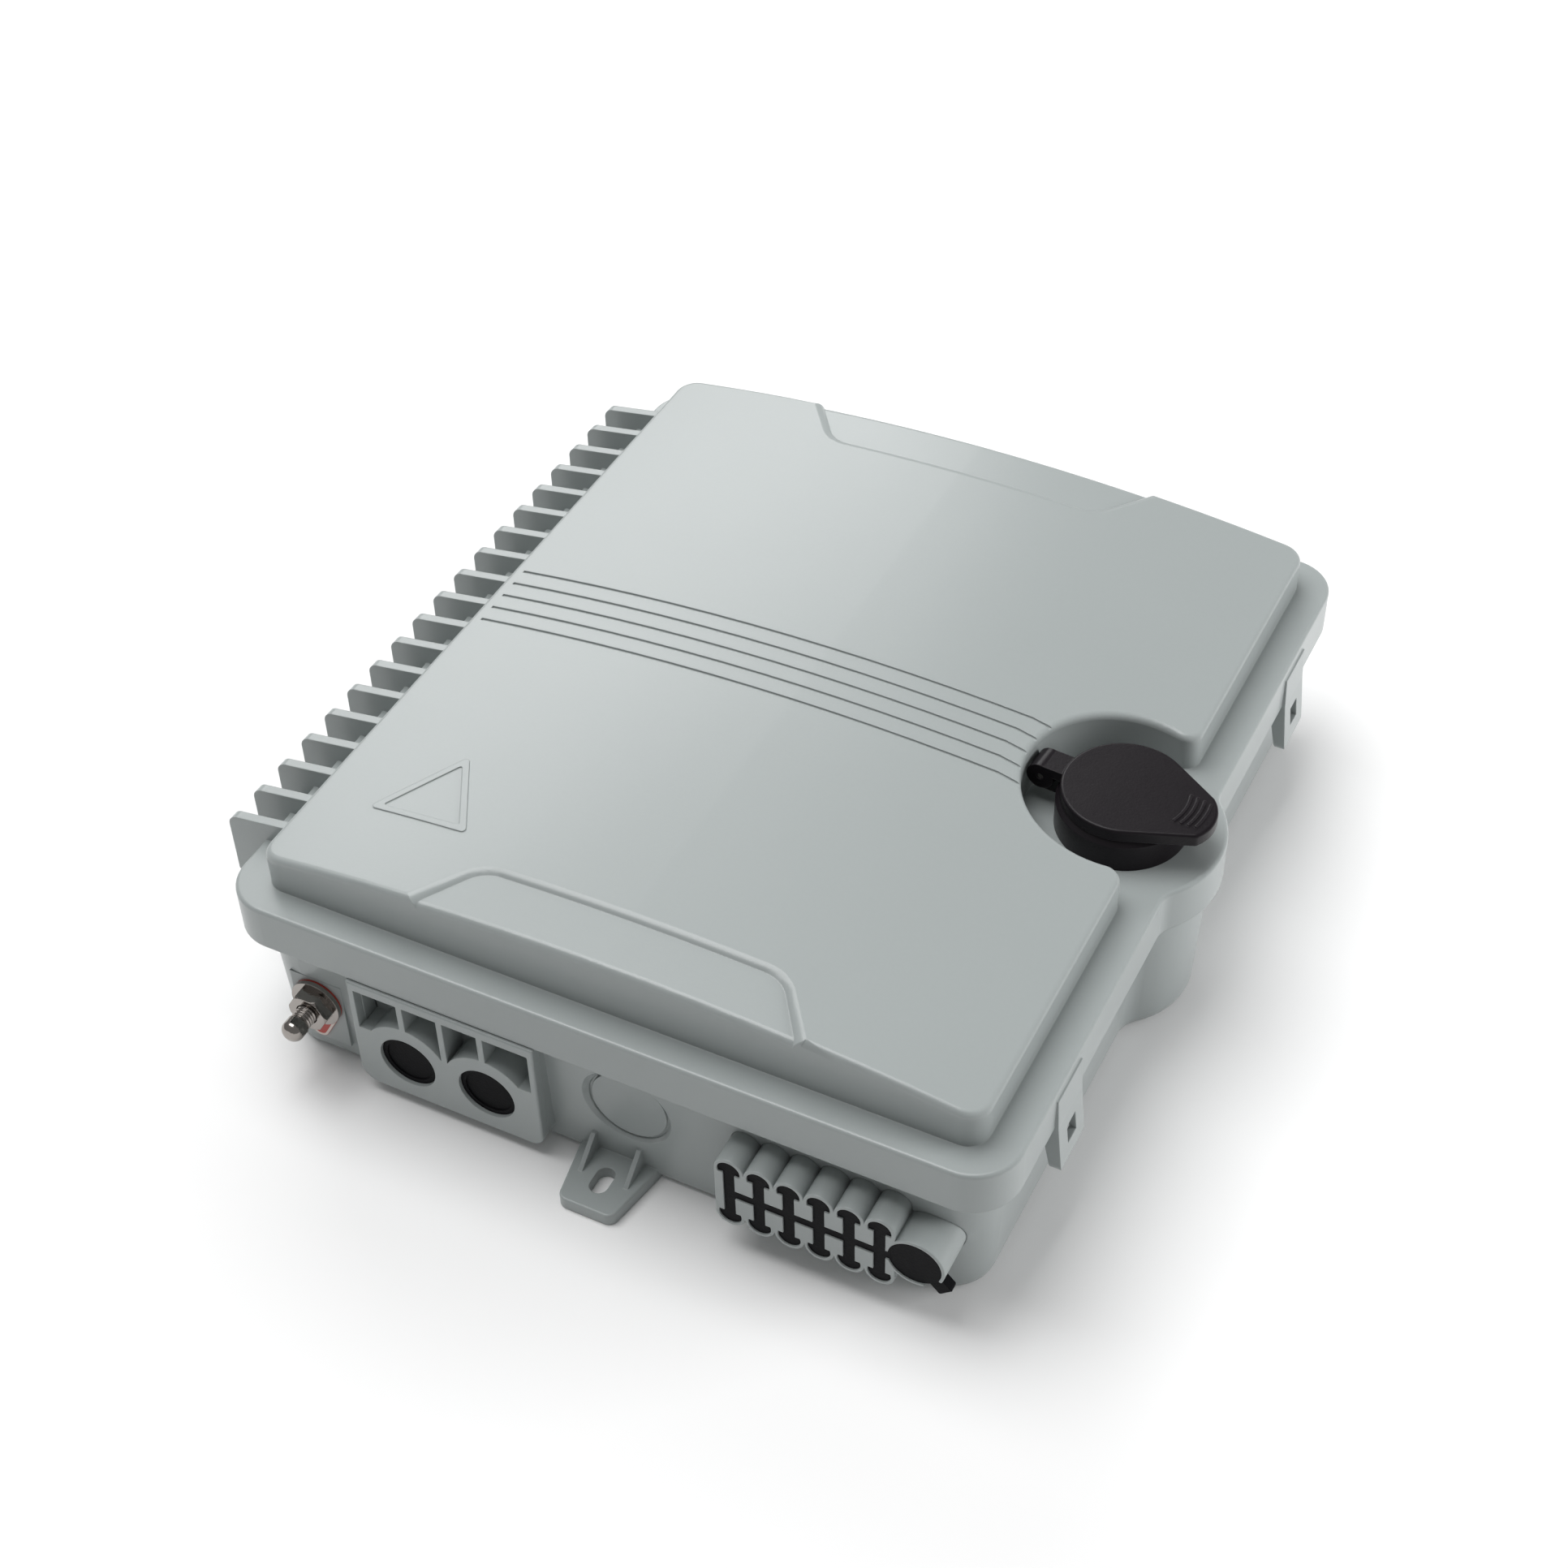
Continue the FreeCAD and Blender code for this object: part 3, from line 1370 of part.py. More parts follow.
def lid_shell():
    outer = lid_rim().fuse(raised_panel())
    outer = outer.fuse(emblem()).cut(panel_grooves())
    inside = s.case_wall
    ceiling = s.ledge_top - inside
    room = slab(rim_outline(inside, s.skirt_low - 1), s.skirt_low - 1, ceiling)
    shell = outer.cut(room).cut(panel_room(inside, ceiling - 1))
    ribs = [lid_rib(y) for y in rib_centres()]
    tongues = [snap_tongue(side * s.tongue_y) for side in (-1, 1)]
    shell = fuse_all([shell] + ribs + tongues)
    running = s.hinge_pin_radius + s.hinge_running_gap
    reach = s.hinge_pin_length / 2 + 1
    holes = [along_y(s.hinge_x, s.hinge_z, running, y - reach, y + reach) for y in hinge_places()]
    lock_hole = Part.makeCylinder(s.barrel_radius + s.screw_gap, 6, Vector(s.lock_x, 0, ceiling - 2))
    return shell.cut(holes + [lock_hole])


shaped("lid_shell", lid_shell())


# ---------------------------------------------------------------- lock, dust cap and strike


def turned(label, profile, x="0", y="0"):
    """A body revolved about an upright axis at x, y from (radius, height) corners."""
    solid = Solid(label)
    sketch = solid.sketch("XZ_Plane")
    add_polygon(sketch, profile)
    solid.turn(sketch)
    return bind(solid.body, Placement__Base__x=x, Placement__Base__y=y)


bell = turned(
    "housing_bell",
    [
        ("core_radius + core_gap", "barrel_foot"),
        ("barrel_radius", "barrel_foot"),
        ("barrel_radius", "ledge_top"),
        ("housing_radius", "ledge_top"),
        ("housing_radius", "housing_top - 1.6"),
        ("housing_radius - 1.6", "housing_top"),
        ("housing_radius - 3.4", "housing_top"),
        ("housing_radius - 4", "housing_top - 0.6"),
        ("housing_radius - 4", "ledge_top + 4"),
        ("core_radius + core_gap", "ledge_top + 4"),
    ],
    x="lock_x",
)


def cap_hinge_turn(shape):
    """Turn hinge parts drawn along X about the cap's centre so that they face the cap's tip."""
    turned_shape = shape.copy()
    turned_shape.rotate(Vector(s.cap_x, 0, 0), Vector(0, 0, 1), s.cap_tip_angle)
    return turned_shape


def cap_axis_x():
    """Where the cap's hinge axis crosses X before the hinge is turned."""
    return s.cap_x - s.cap_pin_reach


def cap_lug():
    """The single lug that carries the cap's hinge pin between the two cheeks of the arm."""
    half = s.cap_lug_half
    eye = along_y(cap_axis_x(), s.cap_pin_z, s.cap_lug_radius, -half, half)
    neck = box_between(
        (cap_axis_x() + 0.6, s.lock_x - s.housing_radius + 2), (-half, half), (s.ledge_top + 4, s.cap_pin_z)
    )
    return cap_hinge_turn(eye.fuse(neck))


def cap_pin_rod(radius, half):
    return cap_hinge_turn(along_y(cap_axis_x(), s.cap_pin_z, radius, -half, half))


lug = doc.addObject("Part::Feature", "cap_lug")
lug.Shape = cap_lug().cut(cap_pin_rod(s.cap_pin_radius + s.screw_gap, s.cap_arm_half))
housing_bore = rod("+Z", "lock_x", "0", "barrel_foot - 1", "core_radius + core_gap", "40")
node("lock_housing", cut(join(bell, lug), housing_bore))
shaped("dust_cap_pin", cap_pin_rod(s.cap_pin_radius, s.cap_arm_half - 0.2))

seal = Solid("lock_seal")
seal_sketch = seal.sketch("XY_Plane", "lock_nut_top")
add_circle(seal_sketch, "lock_x", "0", "barrel_radius + 3.4")
add_circle(seal_sketch, "lock_x", "0", "barrel_radius + screw_gap")
seal.pad(seal_sketch, "ledge_top - case_wall - lock_nut_top")
node("lock_seal", seal.body)

shaped(
    "lock_nut",
    hexagon(
        s.lock_nut_flats,
        (s.lock_x, 0, s.lock_nut_top - s.lock_nut_thick),
        (0, 0, 1),
        s.lock_nut_thick,
        s.barrel_radius + s.screw_gap,
    ),
)

core = turned(
    "core_body",
    [
        ("0", "cam_top"),
        ("core_radius", "cam_top"),
        ("core_radius", "ledge_top + 4.1"),
        ("core_radius + 2", "ledge_top + 4.1"),
        ("core_radius + 2", "core_top - 0.6"),
        ("core_radius + 1.4", "core_top"),
        ("core_radius - 0.6", "core_top"),
        ("core_radius - 1.2", "core_top - 1"),
        ("0", "core_top - 1"),
    ],
    x="lock_x",
)
square_end = block(
    ("lock_x - core_square / 2", "lock_x + core_square / 2"),
    ("-core_square / 2", "core_square / 2"),
    ("cam_top - cam_thick + 0.2", "cam_top + 0.5"),
)
key_slot = block(("lock_x - 3.6", "lock_x + 3.6"), ("-0.8", "0.8"), ("core_top - 9", "core_top + 1"))
core_bore = rod("+Z", "lock_x", "0", "cam_top - cam_thick - 1", "screw_radius + screw_gap", "10.5")
node("lock_core", cut(join(core, square_end), key_slot, core_bore))

cam_hub = rod("+Z", "lock_x", "0", "cam_top - cam_thick", "cam_half + 2", "cam_thick")
cam_arm = overlap(
    block(
        ("lock_x - cam_half", "lock_x + cam_half"),
        ("-cam_length - 2", "0"),
        ("cam_top - cam_thick", "cam_top"),
    ),
    rod("+Z", "lock_x", "0", "cam_top - cam_thick", "cam_length", "cam_thick"),
)
cam_hole = block(
    ("lock_x - core_square / 2 - screw_gap", "lock_x + core_square / 2 + screw_gap"),
    ("-core_square / 2 - screw_gap", "core_square / 2 + screw_gap"),
    ("cam_top - cam_thick - 1", "cam_top + 1"),
)
node("lock_cam", cut(join(cam_hub, cam_arm), cam_hole))

cam_washer = Solid("cam_washer")
cam_washer_sketch = cam_washer.sketch("XY_Plane", "cam_top - cam_thick - 1")
add_circle(cam_washer_sketch, "lock_x", "0", "core_square / 2 + 2.6")
add_circle(cam_washer_sketch, "lock_x", "0", "screw_radius + screw_gap")
cam_washer.pad(cam_washer_sketch, "1")
node("cam_washer", cam_washer.body)

upside_down = screw(s.screw_long)
upside_down.rotate(Vector(0, 0, 0), Vector(1, 0, 0), 180)
shaped("cam_screw", copies(upside_down, [(s.lock_x, 0, s.cam_top - s.cam_thick - 1)]))


def cap_outline(height):
    """The cap's drop-shaped outline: a disc drawn out to a blunt tip on the right."""
    centre = Vector(s.cap_x, 0, height)

    def polar(radius, angle):
        turn = math.radians(angle)
        return centre + Vector(radius * math.cos(turn), radius * math.sin(turn), 0)

    high_tip = polar(s.cap_tip_radius - 2.8, s.cap_tip_angle + 19.4)
    low_tip = polar(s.cap_tip_radius - 0.8, s.cap_tip_angle - 17.5)
    high_turn = s.cap_tip_angle + 19.4 + math.degrees(math.acos(s.cap_radius / (s.cap_tip_radius - 2.8)))
    low_turn = s.cap_tip_angle - 17.5 - math.degrees(math.acos(s.cap_radius / (s.cap_tip_radius - 0.8)))
    edges = [
        Part.makeLine(polar(s.cap_radius, low_turn), low_tip),
        Part.Arc(low_tip, polar(s.cap_tip_radius, s.cap_tip_angle), high_tip).toShape(),
        Part.makeLine(high_tip, polar(s.cap_radius, high_turn)),
        Part.Arc(
            polar(s.cap_radius, high_turn), polar(s.cap_radius, 180), polar(s.cap_radius, low_turn)
        ).toShape(),
    ]
    return Part.Wire(edges)


def grip_lines():
    """Curved raised lines across the tip, each further from the cap's centre."""
    shapes = []
    for index in range(int(s.grip_count)):
        radius = s.cap_radius + index * s.grip_pitch
        ring = Part.makeCylinder(radius + 0.45, 1, Vector(s.cap_x, 0, s.cap_top - 0.55))
        ring = ring.cut(Part.makeCylinder(radius - 0.45, 1, Vector(s.cap_x, 0, s.cap_top - 0.55)))
        half = math.radians(19 - 2.2 * index)
        wedge = prism(
            [
                (s.cap_x, 0, s.cap_top - 1),
                (s.cap_x + 50 * math.cos(half), -50 * math.sin(half), s.cap_top - 1),
                (s.cap_x + 50 * math.cos(half), 50 * math.sin(half), s.cap_top - 1),
            ],
            (0, 0, 1),
            3,
        )
        wedge.rotate(Vector(s.cap_x, 0, 0), Vector(0, 0, 1), s.cap_tip_angle)
        shapes.append(ring.common(wedge))
    return shapes


def cap_arm():
    """The arm that joins the cap to its hinge: two cheeks and a roof around the housing's lug."""
    axis_x = cap_axis_x()
    half = s.cap_arm_half
    beam = box_between((axis_x, s.cap_x - s.cap_radius + 4), (-half, half), (s.cap_under, s.cap_arm_top))
    arm = beam.fuse(along_y(axis_x, s.cap_pin_z, s.cap_knuckle, -half, half))
    slot = s.cap_lug_half + s.cap_lug_gap
    clear = s.cap_lug_radius + s.cap_lug_gap
    past = s.cap_knuckle + 1
    shoulder = axis_x + past
    room = [
        along_y(axis_x, s.cap_pin_z, clear, -slot, slot),
        box_between((axis_x - past, shoulder), (-slot, slot), (s.cap_pin_z - past, s.cap_pin_z)),
        box_between((axis_x, shoulder), (-slot, slot), (s.cap_pin_z - 1, s.cap_pin_z + clear)),
    ]
    arm = arm.cut(room)
    return cap_hinge_turn(arm)


def dust_cap():
    """The hinged cover over the key hole, with its knuckle, arm and locating ring."""
    plate = slab(cap_outline(s.cap_under), s.cap_under, s.cap_top)
    tips = []
    for edge in plate.Edges:
        corner = edge.Vertexes[0]
        if is_upright(edge) and math.hypot(corner.X - s.cap_x, corner.Y) > s.cap_radius + 3:
            tips.append(edge)
    plate = plate.makeFillet(2.0, tips)
    plate = plate.makeFillet(0.9, [edge for edge in plate.Edges if edge.BoundBox.ZMin > s.cap_top - 0.01])
    ring = Part.makeCylinder(15.8, 4.5, Vector(s.cap_x, 0, s.cap_under - 4))
    ring = ring.cut(Part.makeCylinder(14.6, 6, Vector(s.cap_x, 0, s.cap_under - 5)))
    cap = fuse_all([plate, cap_arm(), ring.cut(plate)] + grip_lines())
    return cap.cut(cap_pin_rod(s.cap_pin_radius + s.cap_pin_gap, 20))


shaped("dust_cap", dust_cap())

strike = Solid("strike_plate")
strike_sketch = strike.sketch("XY_Plane", "strike_low")
add_rectangle(strike_sketch, ("strike_in_x", "strike_out_x"), ("-strike_half", "strike_half"))
for hole_y in ("-strike_screw_y", "strike_screw_y"):
    add_circle(strike_sketch, "strike_screw_x", hole_y, "screw_radius + screw_gap")
strike.pad(strike_sketch, "strike_thick")
node("strike_plate", strike.body)
strike_top = s.strike_low + s.strike_thick
screws("strike_screws", [(x, y, strike_top) for x, y in strike_screw_places()], s.screw_long)


# ---------------------------------------------------------------- cable clamp and comb


clamp_top = s.trunk_z + s.clamp_split
saddle_foot = block(
    ("trunk_x - clamp_foot_x - 4", "trunk_x + clamp_foot_x + 4"),
    ("clamp_y - clamp_long / 2", "clamp_y + clamp_long / 2"),
    ("bracket_seat", "bracket_seat + clamp_foot_thick"),
)
saddle_body = block(
    ("trunk_x - clamp_half", "trunk_x + clamp_half"),
    ("clamp_y - clamp_long / 2", "clamp_y + clamp_long / 2"),
    ("bracket_seat", "trunk_z - clamp_split"),
)
saddle_tools = []
for side in ("-", "+"):
    hole = f"trunk_x {side} trunk_pitch / 2"
    foot = f"trunk_x {side} clamp_foot_x"
    saddle_tools.append(rod("+Y", hole, "clamp_y - clamp_long", "trunk_z", "clamp_bore", "2 * clamp_long"))
    saddle_tools.append(rod("+Z", foot, "clamp_y", "bracket_seat - 1", "screw_radius + screw_gap", "12"))
    for end in ("-", "+"):
        place = f"{hole} {end} clamp_screw_x"
        saddle_tools.append(rod("+Z", place, "clamp_y", "bracket_seat + 6", "screw_radius + screw_gap", "20"))
node("cable_clamp_saddle", cut(join(saddle_foot, saddle_body), *saddle_tools))

bars = []
for side in ("-", "+"):
    hole = f"trunk_x {side} trunk_pitch / 2"
    bar = block(
        (f"{hole} - clamp_bar_half", f"{hole} + clamp_bar_half"),
        ("clamp_y - clamp_long / 2", "clamp_y + clamp_long / 2"),
        ("trunk_z + clamp_split", "trunk_z + clamp_split + clamp_bar_high"),
    )
    groove = rod("+Y", hole, "clamp_y - clamp_long", "trunk_z", "clamp_bore", "2 * clamp_long")
    bores = [
        rod("+Z", f"{hole} {end} clamp_screw_x", "clamp_y", "trunk_z", "screw_radius + screw_gap", "20")
        for end in ("-", "+")
    ]
    bars.append(cut(bar, groove, *bores))
clamp_bars = doc.addObject("Part::Compound", "clamp_bars")
clamp_bars.Links = bars
node("cable_clamp_bars", clamp_bars)
bar_top = clamp_top + s.clamp_bar_high
screws(
    "cable_clamp_screws",
    [(x + side * s.clamp_screw_x, s.clamp_y, bar_top) for x in trunk_hole_x() for side in (-1, 1)],
    s.clamp_bar_high + 6,
)

screw_bore = "screw_radius + screw_gap"
comb_middle = "drop_first_x + (drop_columns - 1) * drop_pitch / 2"
comb_strip = block(
    (f"{comb_middle} - comb_screw_x - 4", f"{comb_middle} + comb_screw_x + 4"),
    ("comb_y - comb_long / 2", "comb_y + comb_long / 2"),
    ("bracket_seat", "bracket_seat + clamp_foot_thick"),
)
tooth_places = [f"drop_first_x + {index - 0.5} * drop_pitch" for index in range(int(s.drop_columns) + 1)]
teeth = [
    block(
        (f"{place} - 1.5", f"{place} + 1.5"),
        ("comb_y - comb_long / 2", "comb_y + comb_long / 2"),
        ("bracket_seat", "bracket_seat + comb_tooth_high"),
    )
    for place in tooth_places
]
comb_bores = [
    rod("+Z", f"{comb_middle} {side} comb_screw_x", "comb_y", "bracket_seat - 1", screw_bore, "6")
    for side in ("-", "+")
]
node("drop_cable_comb", cut(join(comb_strip, *teeth), *comb_bores))


# ---------------------------------------------------------------- adapter row


bracket = Solid("adapter_bracket")
bracket_low = "adapter_first_x - bracket_side"
bracket_high_x = "adapter_first_x + (adapter_count - 1) * adapter_pitch + bracket_side"
bracket_front = "adapter_y - adapter_flange_thick / 2 + adapter_flange_thick"
bracket_sketch = bracket.sketch("YZ_Plane", bracket_low)
add_polygon(
    bracket_sketch,
    [
        (bracket_front, "bracket_seat"),
        (f"{bracket_front} + bracket_foot", "bracket_seat"),
        (f"{bracket_front} + bracket_foot", "bracket_seat + bracket_thick"),
        (f"{bracket_front} + bracket_thick", "bracket_seat + bracket_thick"),
        (f"{bracket_front} + bracket_thick", "bracket_high"),
        (bracket_front, "bracket_high"),
    ],
)
bracket.pad(bracket_sketch, f"({bracket_high_x}) - ({bracket_low})")
windows = bracket.sketch("XZ_Plane", f"-({bracket_front} + bracket_thick + 1)")
for index in range(int(s.adapter_count)):
    centre = f"adapter_first_x + {index} * adapter_pitch"
    add_rectangle(
        windows,
        (f"{centre} - adapter_wide / 2 - adapter_gap", f"{centre} + adapter_wide / 2 + adapter_gap"),
        ("adapter_z - adapter_tall / 2 - adapter_gap", "adapter_z + adapter_tall / 2 + adapter_gap"),
    )
bracket.pocket(windows, "bracket_thick + 2", up=True)
foot_holes = bracket.sketch("XY_Plane", "bracket_seat + bracket_thick + 1")
for x, y in bracket_screw_places():
    add_circle(foot_holes, str(x), str(y), "screw_radius + screw_gap")
bracket.pocket(foot_holes, "bracket_thick + 2")
node("adapter_bracket", bracket.body)


def adapter_places():
    columns = [s.adapter_first_x + index * s.adapter_pitch for index in range(int(s.adapter_count))]
    return [(x, s.adapter_y, s.adapter_z) for x in columns]


def adapter():
    """A through coupler with a mounting flange and an open socket at each end."""
    wide = s.adapter_wide / 2
    tall = s.adapter_tall / 2
    reach = s.adapter_long / 2
    body = box_between((-wide, wide), (-reach, reach), (-tall, tall))
    body = body.makeFillet(0.8, [edge for edge in body.Edges if edge.Length > s.adapter_long - 1])
    half = s.adapter_flange_tall / 2
    thick = s.adapter_flange_thick / 2
    body = body.fuse(box_between((-wide, wide), (-thick, thick), (-half, half)))
    bore_wide = s.adapter_bore_wide / 2
    bore_tall = s.adapter_bore_tall / 2
    for low, high in ((-reach - 1, -reach + s.adapter_bore_deep), (reach - s.adapter_bore_deep, reach + 1)):
        body = body.cut(box_between((-bore_wide, bore_wide), (low, high), (-bore_tall, bore_tall)))
    return body


def adapter_cap(side):
    """A dust plug pressed into one socket, with a shaft and a wider grip outside."""
    wide = s.adapter_bore_wide / 2 - s.screw_gap
    tall = s.adapter_bore_tall / 2 - s.screw_gap
    mouth = s.adapter_long / 2
    shaft = box_between((-wide, wide), (mouth - s.adapter_bore_deep + 1, mouth), (-tall, tall))
    grip = box_between((-wide - 1, wide + 1), (mouth, mouth + 4), (-tall - 1.2, tall + 1.2))
    plug = shaft.fuse(grip.makeFillet(0.8, grip.Edges))
    return plug if side > 0 else plug.mirror(Vector(0, 0, 0), Vector(0, 1, 0))


shaped("fiber_adapters", copies(adapter(), adapter_places()))
caps = [copies(adapter_cap(side), adapter_places()).Solids for side in (-1, 1)]
shaped("adapter_caps", Part.makeCompound(caps[0] + caps[1]))


# ---------------------------------------------------------------- splice tray


def bracket_ears():
    """The (low, high) formulas in y of the tray bracket's four ears."""
    spans = []
    for lug in ("tray_lug_front_y", "tray_lug_back_y"):
        inner = "tray_lug_half + tray_ear_gap"
        spans.append((f"{lug} - ({inner}) - tray_ear_thick", f"{lug} - ({inner})"))
        spans.append((f"{lug} + {inner}", f"{lug} + {inner} + tray_ear_thick"))
    return spans


ears = []
ear_width = ("tray_axis_x - tray_lug_radius", "tray_axis_x + tray_lug_radius")
for low_y, high_y in bracket_ears():
    ears.append(block(ear_width, (low_y, high_y), ("bracket_seat", "tray_axis_z")))
    ears.append(rod("+Y", "tray_axis_x", low_y, "tray_axis_z", "tray_lug_radius", f"({high_y}) - ({low_y})"))
tray_foot = block(
    ("tray_axis_x - tray_lug_radius", "tray_axis_x + 8"),
    ("tray_lug_front_y - 8", "tray_lug_back_y + 8"),
    ("bracket_seat", "bracket_seat + 2"),
)
tray_bores = [
    rod("+Y", "tray_axis_x", f"{lug} - 10", "tray_axis_z", "tray_pin_radius + screw_gap", "20")
    for lug in ("tray_lug_front_y", "tray_lug_back_y")
]
tray_bores += [
    rod("+Z", str(x), str(y), "bracket_seat - 1", screw_bore, "5") for x, y in tray_screw_places()
]
node("tray_bracket", cut(join(tray_foot, *ears), *tray_bores))
tray_pin = along_y(0, 0, s.tray_pin_radius, -s.tray_pin_length / 2, s.tray_pin_length / 2)
tray_lugs_y = (s.tray_lug_front_y, s.tray_lug_back_y)
shaped("tray_pins", copies(tray_pin, [(s.tray_axis_x, y, s.tray_axis_z) for y in tray_lugs_y]))


def tray_slab(inset, low, high):
    """The tray's rounded outline, pulled in by inset, between two heights."""
    body = box_between(
        (s.tray_left + inset, s.tray_right - inset), (s.tray_front + inset, s.tray_back - inset), (low, high)
    )
    return body.makeFillet(s.tray_corner - inset, [edge for edge in body.Edges if is_upright(edge)])


def tray_room():
    """The open space inside the tray, with a spool island left standing at each side."""
    room = tray_slab(s.tray_wall, s.tray_low + s.tray_wall, s.tray_high + 1)
    islands = []
    cores = []
    for side in (-1, 1):
        spool_x = s.sleeve_x + side * s.spool_x
        islands.append(Part.makeCylinder(s.spool_radius, s.tray_high, Vector(spool_x, s.sleeve_y, 0)))
        core_foot = Vector(spool_x, s.sleeve_y, s.tray_low + 2)
        cores.append(Part.makeCylinder(s.spool_radius - 2, s.tray_high, core_foot))
    return room.cut(islands).fuse(cores)


def splice_tray():
    tray = tray_slab(0, s.tray_low, s.tray_high).cut(tray_room())
    lip = s.tray_high - s.tray_cover_thick
    tray = tray.cut(tray_slab(1.0, lip, s.tray_high + 1))
    lugs = []
    bore = s.tray_pin_radius + s.hinge_running_gap
    for y in tray_lugs_y:
        span = (y - s.tray_lug_half, y + s.tray_lug_half)
        lug = along_y(s.tray_axis_x, s.tray_axis_z, s.tray_lug_radius, *span)
        arm = box_between(
            (s.tray_axis_x, s.tray_left + 1),
            span,
            (s.tray_low + 0.4, s.tray_axis_z + s.tray_lug_radius),
        )
        pin_hole = along_y(s.tray_axis_x, s.tray_axis_z, bore, y - 9, y + 9)
        lugs.append(lug.fuse(arm).cut(pin_hole))
    return fuse_all([tray] + lugs)


shaped("splice_tray", splice_tray())
shaped(
    "tray_cover",
    tray_slab(1.0 + s.screw_gap, s.tray_high - s.tray_cover_thick, s.tray_high),
)


def sleeve_places():
    middle = (s.sleeve_count - 1) / 2
    columns = [s.sleeve_x + (index - middle) * s.sleeve_pitch for index in range(int(s.sleeve_count))]
    return [(x, s.sleeve_y) for x in columns]


def splice_holder():
    """A block whose comb of grooves grips the splice sleeves."""
    floor = s.tray_low + s.tray_wall
    half = s.sleeve_count * s.sleeve_pitch / 2 + 1
    length = s.sleeve_length / 2 - 6
    body = box_between(
        (s.sleeve_x - half, s.sleeve_x + half),
        (s.sleeve_y - length, s.sleeve_y + length),
        (floor, floor + s.holder_rise),
    )
    bed = floor + 1 + s.sleeve_radius
    tools = []
    for x, y in sleeve_places():
        tools.append(along_y(x, bed, s.sleeve_radius + s.screw_gap, y - 40, y + 40))
        tools.append(box_between((x - 1.1, x + 1.1), (y - 40, y + 40), (bed, floor + s.holder_rise + 1)))
    width = (s.sleeve_x - half - 1, s.sleeve_x + half + 1)
    tools.append(box_between(width, (s.sleeve_y - 9, s.sleeve_y + 9), (floor + 1, 60)))
    return body.cut(tools)


shaped("splice_holder", splice_holder())
sleeve = along_y(0, 0, s.sleeve_radius, -s.sleeve_length / 2, s.sleeve_length / 2)
sleeve = sleeve.makeFillet(0.4, [edge for edge in sleeve.Edges if edge.Closed])
sleeve_z = s.tray_low + s.tray_wall + 1 + s.sleeve_radius
shaped("splice_sleeves", copies(sleeve, [(x, y, sleeve_z) for x, y in sleeve_places()]))
splitter = Solid("splitter_module")
splitter_sketch = splitter.sketch("XY_Plane", "tray_low + tray_wall")
add_rectangle(
    splitter_sketch,
    ("sleeve_x - splitter_long / 2", "sleeve_x + splitter_long / 2"),
    ("tray_back - 26", "tray_back - 26 + splitter_wide"),
)
splitter.pad(splitter_sketch, "splitter_tall")
splitter.round_edges(lambda edge: is_upright(edge), "1.2")
node("splitter_module", splitter.body)


def fiber_guide(turn):
    """A small hooked post that keeps stored fiber loops away from the walls."""
    foot = box_between((-5, 5), (-3.5, 3.5), (0, 1.6))
    post = box_between((3.0, 5), (-3.5, 3.5), (1, 16))
    lip = box_between((-3, 5), (-3.5, 3.5), (14.4, 16))
    guide = fuse_all([foot, post, lip])
    guide.rotate(Vector(0, 0, 0), Vector(0, 0, 1), turn)
    return guide


guide_places = [
    (s.guide_x, -s.guide_front_y, -45),
    (s.guide_x, s.guide_back_y, 45),
    (-s.guide_x, s.guide_back_y, 135),
    (-s.guide_x, -s.guide_front_y, 225),
]
guides = [fiber_guide(turn).translated(Vector(x, y, s.floor_wall)) for x, y, turn in guide_places]
shaped("fiber_guides", Part.makeCompound(guides))
foot_top = s.bracket_seat + s.clamp_foot_thick
bracket_top = s.bracket_seat + s.bracket_thick
screws("adapter_bracket_screws", [(x, y, bracket_top) for x, y in bracket_screw_places()])
screws("tray_bracket_screws", [(x, y, s.bracket_seat + 2) for x, y in tray_screw_places()])
screws(
    "clamp_foot_screws",
    [(x, y, foot_top) for x, y in clamp_screw_places() + comb_screw_places()],
    s.short_screw_long + 1,
)


# ---------------------------------------------------------------- checks and export


doc.recompute()
bad = [item.Label for item in doc.Objects if "Invalid" in item.State or "Error" in item.State]
bad += [label for label, piece in nodes.items() if piece.Shape.isNull() or not piece.Shape.isValid()]
if bad:
    raise RuntimeError(f"faulty objects: {bad}")
os.makedirs("parts", exist_ok=True)
for label, piece in nodes.items():
    piece.Shape.exportStep(f"parts/{label}.step")
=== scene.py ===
import json
import math

import bmesh
import bpy
from mathutils import Matrix, Vector


